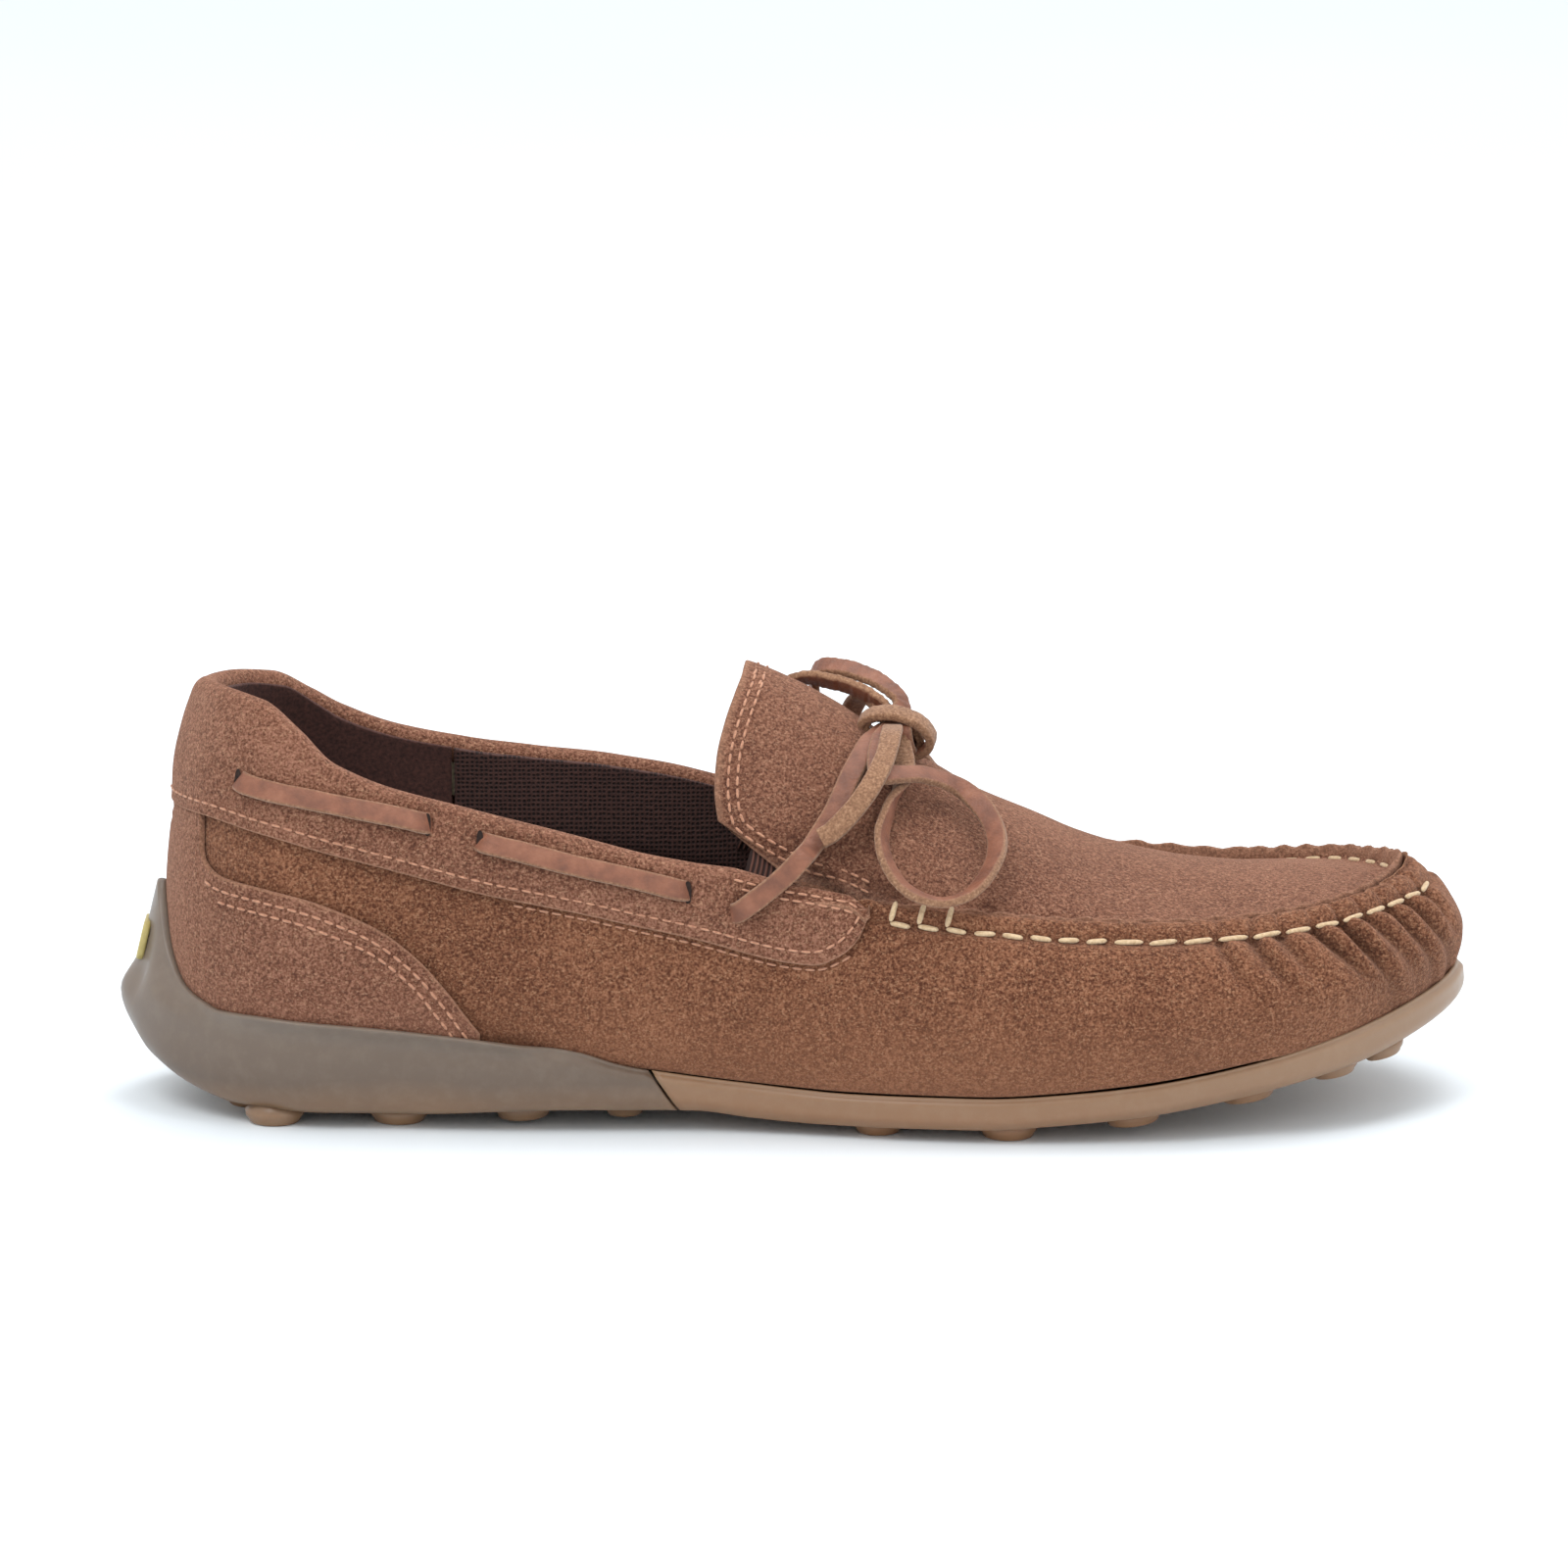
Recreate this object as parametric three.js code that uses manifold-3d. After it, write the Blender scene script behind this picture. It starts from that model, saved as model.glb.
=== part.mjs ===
// A men's driving moccasin for the right foot, modelled as the pieces a shoemaker would cut.
//
// Frame, in millimetres: +X points to the toe, +Y to the medial side, +Z up. The origin is on the
// ground, under the centre of the shoe's bounding box.
//
// The whole shoe hangs on one family of upright sections. A "spine" runs along the foot's middle.
// From each point of it a ray leaves square to the spine, or, past either end, in a fan. A place
// is (side, p, rho, z): the side of the foot, the station p along that side, the distance rho out
// along the ray, and the height z. Each layer of the shoe is a sheet at its own offset from the
// outer face of the suede wrap, so neighbours stay clear of each other by CLEARANCE.

import * as THREE from "three";
import { mergeVertices } from "three/addons/utils/BufferGeometryUtils.js";
import Module from "manifold-3d";

const wasm = await Module();
wasm.setup();

// ---------------------------------------------------------------- driving dimensions

const CLEARANCE = 0.3; // between pieces that touch
const UPPER_THICKNESS = 1.6; // suede of the wrap and apron
const OVERLAY_THICKNESS = 1.4; // suede of the collar band and heel counter cover
const LINING_THICKNESS = 1.0;
const FOAM_THICKNESS = 3.6; // collar padding
const INSOLE_THICKNESS = 4.0;
const SOCK_THICKNESS = 1.2;
const LAP = 5.0; // how far the wrap runs up under the collar band
const LACE_WIDTH = 4.8;
const LACE_THICKNESS = 1.8;
const POD_RADIUS = 7.0; // grip pods under the sole
const POD_SEGMENTS = 11;
const SOLE_SPLIT_GAP = 0.8; // slit between the heel unit and the forefoot unit
const THREAD_DIAMETER = 1.1;
const BADGE = { width: 11, height: 8.8, thickness: 1.2 };

const HEEL_SPINE_X = -98; // the spine's two ends
const TOE_SPINE_X = 100;
const HEEL_FAN = 53; // length of the p scale over each quarter-turn fan
const TOE_FAN = 72;
const P_HEEL = HEEL_SPINE_X - HEEL_FAN; // back of the heel
const P_TOE = TOE_SPINE_X + TOE_FAN; // tip of the toe
const WRAP_REAR = P_HEEL + 11; // the wrap stops short of the heel's centre, under the counter cover
const STIFFENER_THICKNESS = 1.2;
const STIFFENER_FRONT = -100;
const QUARTER_SEAM = -75; // seam between heel lining and quarter lining
const FOAM_FRONT = 1; // the collar's padding ends here
const VAMP_SEAM = 13.4; // seam between quarter lining and vamp lining

const LATERAL = -1;
const MEDIAL = 1;

// Smooth one-dimensional curve through points, with no overshoot.
function curve(points) {
  const n = points.length;
  const slope = points.slice(1).map(([x, y], i) => (y - points[i][1]) / (x - points[i][0]));
  const tangent = points.map((_, i) => {
    if (i === 0 || i === n - 1) return i ? slope[n - 2] : slope[0];
    const [a, b] = [slope[i - 1], slope[i]];
    return a * b <= 0 ? 0 : (2 * a * b) / (a + b);
  });
  return (x) => {
    if (x <= points[0][0]) return points[0][1];
    if (x >= points[n - 1][0]) return points[n - 1][1];
    let i = 0;
    while (x > points[i + 1][0]) i += 1;
    const [[x0, y0], [x1, y1]] = [points[i], points[i + 1]];
    const h = x1 - x0;
    const t = (x - x0) / h;
    const [t2, t3] = [t * t, t * t * t];
    return (
      y0 * (2 * t3 - 3 * t2 + 1) +
      h * tangent[i] * (t3 - 2 * t2 + t) +
      y1 * (3 * t2 - 2 * t3) +
      h * tangent[i + 1] * (t3 - t2)
    );
  };
}

const lerp = THREE.MathUtils.lerp;
const smooth = THREE.MathUtils.smoothstep;

// Plan: how far the upper's wall stands out from the spine at its foot.
const spineY = curve([[-20, 0], [60, 2.2], [100, 4]]);
const wallReach = {
  [LATERAL]: curve([
    [P_HEEL, 35.5], [-125, 34.5], [-98, 34], [-60, 36.5], [-25, 38.5], [0, 42.5], [25, 48.5],
    [50, 52], [75, 52.5], [100, 48.5], [118, 45.2], [138, 43.6], [P_TOE, 46.5],
  ]),
  [MEDIAL]: curve([
    [P_HEEL, 35.5], [-125, 34.2], [-98, 33.5], [-60, 33.5], [-25, 33], [0, 36], [25, 41.5],
    [50, 46], [75, 46.5], [100, 43], [118, 42], [138, 43.4], [P_TOE, 46.5],
  ]),
};

// Side view: heights along the shoe.
const floorZ = curve([
  [-135, 13], [-98, 12.5], [-60, 11.5], [-30, 9.5], [-10, 7.6], [13, 6.2], [41, 6.3], [58, 7.2],
  [72, 8.6], [90, 11.2], [107, 14.4], [125, 18.4], [147, 25],
]);
const rubberRimZ = curve([
  [-113, 24.8], [-98, 23.7], [-66, 20.6], [-44, 17.4], [-30, 14.2], [-11, 11.4], [13, 9.8],
  [41, 9.9], [63, 11.2], [90, 14.6], [107, 18], [125, 22.6], [137, 26], [147, 29],
]);
const soleBottomZ = curve([
  [-134, 6], [-121, 3], [-103, 2.7], [-82, 2.7], [-53, 4], [-24, 4.4], [-10, 3.4], [8, 2.5],
  [41, 2.7], [55, 3.6], [72, 5.2], [90, 7.7], [107, 10.8], [125, 14.6], [136, 18], [149, 22.5],
]);
// Top of the wall: the collar's topline at the back, and the sewn ridge round the apron in front.
const topZ = curve([
  [P_HEEL, 93.4], [-135, 93.6], [-120, 92.6], [-107.5, 87], [-99, 81.3], [-87, 76.7], [-70, 73.1],
  [-53, 69.2], [-33.5, 64.2], [-12, 58.6], [2, 55], [16, 52.3], [37, 50], [63, 47.5], [88, 46.5],
  [105, 47.2], [116, 47.9], [139, 49.6], [160, 50.7], [P_TOE, 51.3],
]);
const topInset = curve([
  [P_HEEL, 6], [-120, 7], [-107, 6], [-98, 4.5], [-70, 3], [-33, 2], [-12, 2], [16, 5.5], [37, 9],
  [63, 12.5], [88, 14.5], [105, 14], [116, 12.8], [139, 11.2], [P_TOE, 10.5],
]);
const bandLowZ = curve([
  [P_HEEL, 66.4], [-131, 67], [-113.5, 64.8], [-96.7, 60.6], [-80, 56.4], [-65.7, 52.9],
  [-52.8, 50.5], [-43, 48.6], [-33, 46.4], [-23, 44.4], [-16.4, 42.9], [-8.5, 40.9], [-1.2, 39.5],
  [5.2, 39], [10.2, 40.9], [14, 44], [16.2, 48], [17, 50.4],
]);
const BAND_FRONT = 17;
const counterTopZ = curve([
  [-131.5, 66.5], [-130, 57.5], [-124, 53.9], [-114, 52.6], [-104, 50.6], [-96.7, 47.9],
  [-88.6, 44.2], [-80.4, 38.1], [-74, 31], [-69.7, 25.3], [-67, 21.9],
]);
const COUNTER_FRONT = -67;

// Apron and tongue: crown height, and the arch between crown and edge.
const crownZ = curve([
  [-16, 98.5], [-8.5, 96.4], [1, 92.3], [10.6, 86.9], [14.2, 84.4], [26.6, 75.6], [32, 72.8],
  [40, 67.9], [53.7, 62], [63, 57.8], [72, 54.8], [88, 51.5], [104, 50.2], [136, 50],
]);
const archPower = curve([[0, 0.72], [40, 0.78], [80, 1]]);
const TONGUE_SPLIT = { edge: 4, crown: 27 }; // x of the bend between apron and tongue
// The tongue's free edge: its x at each share from edge to crown.
const tongueRearX = {
  [LATERAL]: curve([
    [0, -9], [0.014, -12], [0.065, -14.9], [0.16, -15.7], [0.264, -15.3], [0.426, -13.2],
    [0.612, -10.6], [0.8, -9.3], [1, -8.9],
  ]),
  [MEDIAL]: curve([
    [0, -7], [0.065, -10], [0.16, -11], [0.264, -11], [0.426, -10], [0.612, -9.2], [1, -8.9],
  ]),
};

// ---------------------------------------------------------------- sections and places

// Turn of the ray at a station: 0 square to the spine, a right angle at heel back and toe tip.
function fanTurn(p) {
  if (p > TOE_SPINE_X) return ((p - TOE_SPINE_X) / TOE_FAN) * (Math.PI / 2);
  if (p < HEEL_SPINE_X) return ((p - HEEL_SPINE_X) / HEEL_FAN) * (Math.PI / 2);
  return 0;
}

function place(side, p, rho, z) {
  const turn = fanTurn(p);
  const x = THREE.MathUtils.clamp(p, HEEL_SPINE_X, TOE_SPINE_X);
  return new THREE.Vector3(
    x + rho * Math.sin(turn),
    spineY(x) + side * rho * Math.cos(turn),
    z,
  );
}

const PROFILE_STEPS = 96;
const CORNER_REACH = 12; // width of the rounding between floor and wall
const CORNER_RISE = 9;
const floorEdge = (side, p) => wallReach[side](p) - CORNER_REACH;
const wallFloor = (side, p) => floorZ(place(side, p, floorEdge(side, p), 0).x);

// Outer face of the wall in section, from the floor's edge to the top: [rho, z] pairs.
function wallProfile(side, p) {
  const reach = wallReach[side](p);
  const floor = wallFloor(side, p);
  const top = topZ(p);
  const inset = topInset(p);
  const foot = floor + CORNER_RISE;
  const rise = (share) => lerp(foot, top, share);
  const knots = [
    [reach - CORNER_REACH, floor],
    [reach - 3.2, floor + 2.6],
    [reach, foot],
    [reach + 1.2, rise(0.34)],
    [reach - 0.2 * inset, rise(0.68)],
    [reach - 0.58 * inset, rise(0.87)],
    [reach - inset, top],
  ];
  const path = new THREE.CatmullRomCurve3(
    knots.map(([rho, z]) => new THREE.Vector3(rho, z, 0)),
    false,
    "centripetal",
  );
  return Array.from({ length: PROFILE_STEPS + 1 }, (_, k) => path.getPoint(k / PROFILE_STEPS));
}

const profiles = new Map();
function profileAt(side, p) {
  const key = `${side}:${p.toFixed(4)}`;
  if (!profiles.has(key)) profiles.set(key, wallProfile(side, p));
  return profiles.get(key);
}

// The profile's point at a share of its steps, moved out along its normal by offset.
function onProfile(side, p, share, offset) {
  const profile = profileAt(side, p);
  const at = THREE.MathUtils.clamp(share, 0, 1) * PROFILE_STEPS;
  const k = Math.min(Math.floor(at), PROFILE_STEPS - 1);
  const point = profile[k].clone().lerp(profile[k + 1], at - k);
  const before = profile[Math.max(k - 1, 0)];
  const after = profile[Math.min(k + 2, PROFILE_STEPS)];
  const along = after.clone().sub(before).normalize();
  return place(side, p, point.x + along.y * offset, point.y - along.x * offset);
}

// The wall's point at a height, at an offset from the wrap's outer face.
function onWall(side, p, z, offset) {
  const profile = profileAt(side, p);
  let k = 0;
  while (k < PROFILE_STEPS - 1 && profile[k + 1].y < z) k += 1;
  const [a, b] = [profile[k], profile[k + 1]];
  const share = (k + (z - a.y) / (b.y - a.y)) / PROFILE_STEPS;
  if (share <= 1) return onProfile(side, p, share, offset);
  return onProfile(side, p, 1, offset).setZ(z);
}

// Edge of the apron and tongue, just inside the sewn ridge or inside the collar's lining.
function apronEdge(side, p) {
  const behindRidge = 1 - smooth(p, 9, 22);
  const reach = wallReach[side](p) - topInset(p);
  const gap = lerp(UPPER_THICKNESS + 2 * CLEARANCE, FOAM_THICKNESS + LINING_THICKNESS + 2.5, behindRidge);
  return { rho: reach - gap, z: topZ(p) - lerp(2.6, 0.4, behindRidge) };
}

// The apron's and tongue's outer face: share 0 at the edge and 1 on the spine.
function onApron(side, p, share, offset = 0) {
  const at = (s) => {
    const edge = apronEdge(side, p);
    const x = THREE.MathUtils.clamp(p, HEEL_SPINE_X, TOE_SPINE_X);
    const arch = Math.sin((Math.PI / 2) * s) ** archPower(x);
    return new THREE.Vector2(edge.rho * (1 - s), lerp(edge.z, crownZ(x), arch));
  };
  const point = at(share);
  const along = at(Math.min(share + 0.02, 1)).sub(at(Math.max(share - 0.02, 0.005))).normalize();
  return place(side, p, Math.max(point.x + along.y * offset, 0), point.y - along.x * offset);
}

const tongueSplitX = (share) => lerp(TONGUE_SPLIT.edge, TONGUE_SPLIT.crown, share);

// ---------------------------------------------------------------- building closed sheets

function geometryOf(triangles) {
  const kept = triangles.filter(
    ([a, b, c]) => b.clone().sub(a).cross(c.clone().sub(a)).length() > 1e-7,
  );
  const geometry = new THREE.BufferGeometry().setFromPoints(kept.flat());
  return mergeVertices(geometry, 1e-4);
}

function solidOf(geometry) {
  const bare = mergeVertices(
    new THREE.BufferGeometry().setAttribute(
      "position",
      (geometry.index ? geometry.toNonIndexed() : geometry).getAttribute("position"),
    ),
    1e-4,
  );
  const made = new wasm.Manifold(
    new wasm.Mesh({
      numProp: 3,
      vertProperties: new Float32Array(bare.attributes.position.array),
      triVerts: new Uint32Array(bare.index.array),
    }),
  );
  return made;
}

function geometryFrom(solid) {
  const mesh = solid.getMesh();
  const geometry = new THREE.BufferGeometry();
  geometry.setAttribute("position", new THREE.BufferAttribute(mesh.vertProperties, 3));
  geometry.setIndex(new THREE.BufferAttribute(mesh.triVerts, 1));
  return geometry;
}

function facingOut(geometry) {
  const position = geometry.getAttribute("position");
  const index = geometry.index.array;
  const at = (i) => new THREE.Vector3().fromBufferAttribute(position, index[i]);
  let volume = 0;
  for (let i = 0; i < index.length; i += 3) volume += at(i).dot(at(i + 1).cross(at(i + 2)));
  if (volume < 0) for (let i = 0; i < index.length; i += 3) {
    [index[i + 1], index[i + 2]] = [index[i + 2], index[i + 1]];
  }
  return geometry;
}

// A closed sheet between two grids of points. Rows run along the sheet and columns across it.
// With meetsAtSpine the first column is where the sheet's own two halves join, so it has no edge.
function sheet(outer, inner, { meetsAtSpine = false, loop = false } = {}) {
  const triangles = [];
  const quad = (a, b, c, d) => triangles.push([a, b, c], [a, c, d]);
  const rows = outer.length;
  const columns = outer[0].length;
  for (let i = 0; i < (loop ? rows : rows - 1); i += 1) {
    const n = (i + 1) % rows;
    for (let j = 0; j < columns - 1; j += 1) {
      quad(outer[i][j], outer[n][j], outer[n][j + 1], outer[i][j + 1]);
      quad(inner[i][j], inner[i][j + 1], inner[n][j + 1], inner[n][j]);
    }
    const last = columns - 1;
    quad(outer[i][last], outer[n][last], inner[n][last], inner[i][last]);
    if (!meetsAtSpine) quad(outer[n][0], outer[i][0], inner[i][0], inner[n][0]);
  }
  if (!loop) {
    for (let j = 0; j < columns - 1; j += 1) {
      const end = rows - 1;
      quad(outer[0][j], outer[0][j + 1], inner[0][j + 1], inner[0][j]);
      quad(outer[end][j + 1], outer[end][j], inner[end][j], inner[end][j + 1]);
    }
  }
  return facingOut(geometryOf(triangles));
}

// Every sheet uses stations of one list, so that neighbouring sheets bend at the same places.
const evenly = (from, to, count) =>
  Array.from({ length: count + 1 }, (_, k) => lerp(from, to, k / count));
const STATIONS = [
  ...evenly(P_HEEL, HEEL_SPINE_X, 7),
  ...evenly(HEEL_SPINE_X, FOAM_FRONT, 8).slice(1),
  ...evenly(FOAM_FRONT, TOE_SPINE_X, 8).slice(1),
  ...evenly(TOE_SPINE_X, P_TOE, 9).slice(1),
];
const CLOSEST_STATIONS = 2;

function stationsBetween(from, to) {
  const within = STATIONS.filter((p) => p > from + CLOSEST_STATIONS && p < to - CLOSEST_STATIONS);
  return [from, ...within, to];
}

// Both sides in one walk: up the lateral side, round the end of the foot and back on the medial.
function bothSides(stations) {
  return [
    ...stations.map((p) => ({ side: LATERAL, p })),
    ...stations.slice(0, -1).reverse().map((p) => ({ side: MEDIAL, p })),
  ];
}
const roundTheToe = (from) => bothSides(stationsBetween(from, P_TOE));
const roundTheHeel = (to) => bothSides(stationsBetween(P_HEEL, to).reverse());

const steps = (count) => Array.from({ length: count + 1 }, (_, k) => k / count);

// A sheet on the wall between two heights, at two constant offsets.
function wallSheet(stations, low, high, offsetOut, offsetIn, columns) {
  const grid = (offset) =>
    stations.map(({ side, p }) =>
      steps(columns).map((k) => onWall(side, p, lerp(low(p, side), high(p, side), k), offset)),
    );
  return sheet(grid(offsetOut), grid(offsetIn));
}

// Columns of a floor sheet, as distances from the spine, and the floor's height there.
function onFloor(side, p, share, rise, extra = 0) {
  const point = place(side, p, floorEdge(side, p) * share + extra, 0);
  return point.setZ(floorZ(point.x) + rise);
}

// ---------------------------------------------------------------- upper

const wrapTopZ = (p) => {
  const underBand = bandLowZ(p) + LAP;
  return lerp(underBand, topZ(p), smooth(p, FOAM_FRONT, 20));
};
const FLOOR_COLUMNS = 2;
const CORNER_SHARES = [0, 0.1, 0.2, 0.3];
const wallShares = (end) => [...CORNER_SHARES.slice(0, -1), ...evenly(CORNER_SHARES.at(-1), end, 4)];

function shareAt(side, p, z) {
  const found = profileAt(side, p).findIndex((point) => point.y >= z - 0.01);
  return found < 0 ? 1 : found / PROFILE_STEPS;
}

function wrapGrid(stations, offset) {
  return stations.map(({ side, p }) => {
    const floor = steps(FLOOR_COLUMNS).slice(0, -1).map((k) => onFloor(side, p, k, -offset));
    const end = shareAt(side, p, wrapTopZ(p));
    const wall = wallShares(end).map((share) => onProfile(side, p, share, offset));
    return [...floor, ...wall];
  });
}

function moccasinWrap() {
  const stations = roundTheToe(WRAP_REAR);
  return sheet(wrapGrid(stations, 0), wrapGrid(stations, -UPPER_THICKNESS), { meetsAtSpine: true });
}

function apron() {
  const columns = steps(6).map((k) => 1 - k);
  const grid = (offset) => {
    const half = (side) => {
      const straight = steps(7).map((k) =>
        columns.map((s) => onApron(side, lerp(tongueSplitX(s), TOE_SPINE_X, k), s, offset)),
      );
      const fan = stationsBetween(TOE_SPINE_X, P_TOE).slice(1).map((p) =>
        columns.map((s) => onApron(side, p, s, offset)),
      );
      return [...straight, ...fan];
    };
    return [...half(LATERAL), ...half(MEDIAL).slice(0, -1).reverse()];
  };
  return sheet(grid(0), grid(-UPPER_THICKNESS), { meetsAtSpine: true });
}

function tongue() {
  const acrossShares = [0, 0.08, 0.18, 0.3, 0.45, 0.62, 0.8, 1];
  const across = [
    ...acrossShares.map((s) => [LATERAL, s]),
    ...acrossShares.slice(0, -1).reverse().map((s) => [MEDIAL, s]),
  ];
  const grid = (offset) =>
    across.map(([side, s]) =>
      steps(5).map((k) => {
        const x = lerp(tongueSplitX(s) - 2 * CLEARANCE, tongueRearX[side](s), k);
        return onApron(side, x, s, offset);
      }),
    );
  return sheet(grid(0), grid(-UPPER_THICKNESS));
}

const OVERLAY_IN = 1.4 * CLEARANCE;
const OVERLAY_OUT = OVERLAY_IN + OVERLAY_THICKNESS;

function collarBand() {
  return wallSheet(
    bothSides([...stationsBetween(P_HEEL, 8), 11, 14, BAND_FRONT].reverse()),
    bandLowZ,
    (p) => topZ(p) + 0.2,
    OVERLAY_OUT,
    OVERLAY_IN,
    4,
  );
}

const COUNTER_LOW = 10; // above the floor, down inside the rubber
const COUNTER_STATIONS = [
  ...evenly(P_HEEL, -132, 3), -131.5, -130, -124, -114, -104, -97, -88, -80, -74, -70, COUNTER_FRONT,
];

function heelCounterCover() {
  const top = (p) => (p < -131.4 ? bandLowZ(p) : counterTopZ(p)) - 2 * CLEARANCE;
  return wallSheet(
    bothSides([...COUNTER_STATIONS].reverse()),
    (p, side) => Math.min(wallFloor(side, p) + COUNTER_LOW, top(p) - 1),
    top,
    OVERLAY_OUT,
    OVERLAY_IN,
    6,
  );
}

const STIFFENER_OUT = -(UPPER_THICKNESS + 2 * CLEARANCE);
const heelStiffener = () =>
  wallSheet(
    roundTheHeel(STIFFENER_FRONT),
    (p, side) => wallFloor(side, p) + COUNTER_LOW,
    (p) => wrapTopZ(p) - 1,
    STIFFENER_OUT,
    STIFFENER_OUT - STIFFENER_THICKNESS,
    5,
  );

function collarFoam() {
  return wallSheet(
    roundTheHeel(FOAM_FRONT),
    (p) => wrapTopZ(p) + 3 * CLEARANCE,
    (p) => topZ(p) - 0.6,
    0,
    -FOAM_THICKNESS,
    3,
  );
}

// ---------------------------------------------------------------- lining and footbed

const LINING_GAP = 3.5 * CLEARANCE;
const LINING_LOW = 8.5; // above the floor
const FOAM_STEP = 7; // height over which the lining steps in to pass behind the collar foam

// The lining lies against the wrap, and steps in behind the collar foam above the wrap's edge.
function liningSheet(stations, high) {
  const grid = (extra) =>
    stations.map(({ side, p }) => {
      const low = wallFloor(side, p) + LINING_LOW;
      const foamStart = Math.min(wrapTopZ(p) - 1, high(p) - 2);
      const levels = [
        ...steps(3).map((k) => lerp(low, foamStart - FOAM_STEP, k)),
        ...steps(3).map((k) => lerp(foamStart, high(p), k)),
      ];
      const besideFoam = 1 - smooth(p, FOAM_FRONT + 1, VAMP_SEAM - 1);
      const besideStiffener = 1 - smooth(p, STIFFENER_FRONT, QUARTER_SEAM);
      return levels.map((z, k) => {
        const packing = k > 3 ? besideFoam : besideStiffener;
        const behind = lerp(UPPER_THICKNESS, FOAM_THICKNESS, packing);
        return onWall(side, p, z, -behind - LINING_GAP - extra);
      });
    });
  return sheet(grid(0), grid(LINING_THICKNESS));
}

const liningHeel = () => liningSheet(roundTheHeel(QUARTER_SEAM), (p) => topZ(p) - 0.4);

function liningQuarter(side) {
  const stations = stationsBetween(QUARTER_SEAM + 2 * CLEARANCE, VAMP_SEAM - CLEARANCE)
    .map((p) => ({ side, p }));
  return liningSheet(stations, (p) => topZ(p) - lerp(0.4, 6.5, smooth(p, -8, 8)));
}

const liningVamp = () =>
  liningSheet(roundTheToe(VAMP_SEAM + CLEARANCE), (p) => topZ(p) - 6.5);

const INSOLE_LOW = UPPER_THICKNESS + CLEARANCE;
const INSOLE_HIGH = INSOLE_LOW + INSOLE_THICKNESS;
const FOOTBED_FLARE = 6; // how much wider the footbed is on top, up the rounded corner

// All the way round the foot, back of the heel to tip of the toe and home again.
function roundTheFoot() {
  const side = stationsBetween(P_HEEL, P_TOE);
  return [
    ...side.map((p) => ({ side: LATERAL, p })),
    ...side.slice(1, -1).reverse().map((p) => ({ side: MEDIAL, p })),
  ];
}

function footbed(low, high, flareLow, flareHigh) {
  const grid = (rise, flare) =>
    roundTheFoot().map(({ side, p }) =>
      steps(FLOOR_COLUMNS).map((k) => onFloor(side, p, k, rise, k === 1 ? flare : 0)),
    );
  return sheet(grid(high, flareHigh), grid(low, flareLow), { meetsAtSpine: true, loop: true });
}

const insoleFoam = () => footbed(INSOLE_LOW, INSOLE_HIGH, 0, FOOTBED_FLARE);
const SOCK_LOW = INSOLE_HIGH + CLEARANCE;
const sockLiner = () =>
  footbed(SOCK_LOW, SOCK_LOW + SOCK_THICKNESS, FOOTBED_FLARE - 0.5, FOOTBED_FLARE);

function gore(side) {
  const wall = (offset) =>
    [-14, -9, -4, 1, 5].map((p) =>
      steps(3).map((k) => {
        const low = topZ(p) - 9;
        const high = lerp(topZ(p) + 0.6, topZ(p) - 1.5, smooth(p, -12, 5));
        const z = lerp(low, high, k);
        return onWall(side, p, z, offset - 0.12 * Math.max(z - topZ(p) + 2, 0) ** 1.4);
      }),
    );
  const face = -(FOAM_THICKNESS + LINING_GAP + LINING_THICKNESS + CLEARANCE);
  return sheet(wall(face), wall(face - 0.8));
}

// ---------------------------------------------------------------- rubber sole

const heelReach = curve([
  [P_HEEL - 1, 13.2], [P_HEEL, 13.2], [-145, 12.2], [-137, 8.8], [-126, 5], [-110, 3.2], [-90, 3],
]);
const finRise = curve([
  [P_HEEL - 1, 23.2], [P_HEEL, 23.2], [-147, 20.5], [-141, 10], [-134, 3.2], [-124, 0],
]);

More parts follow.
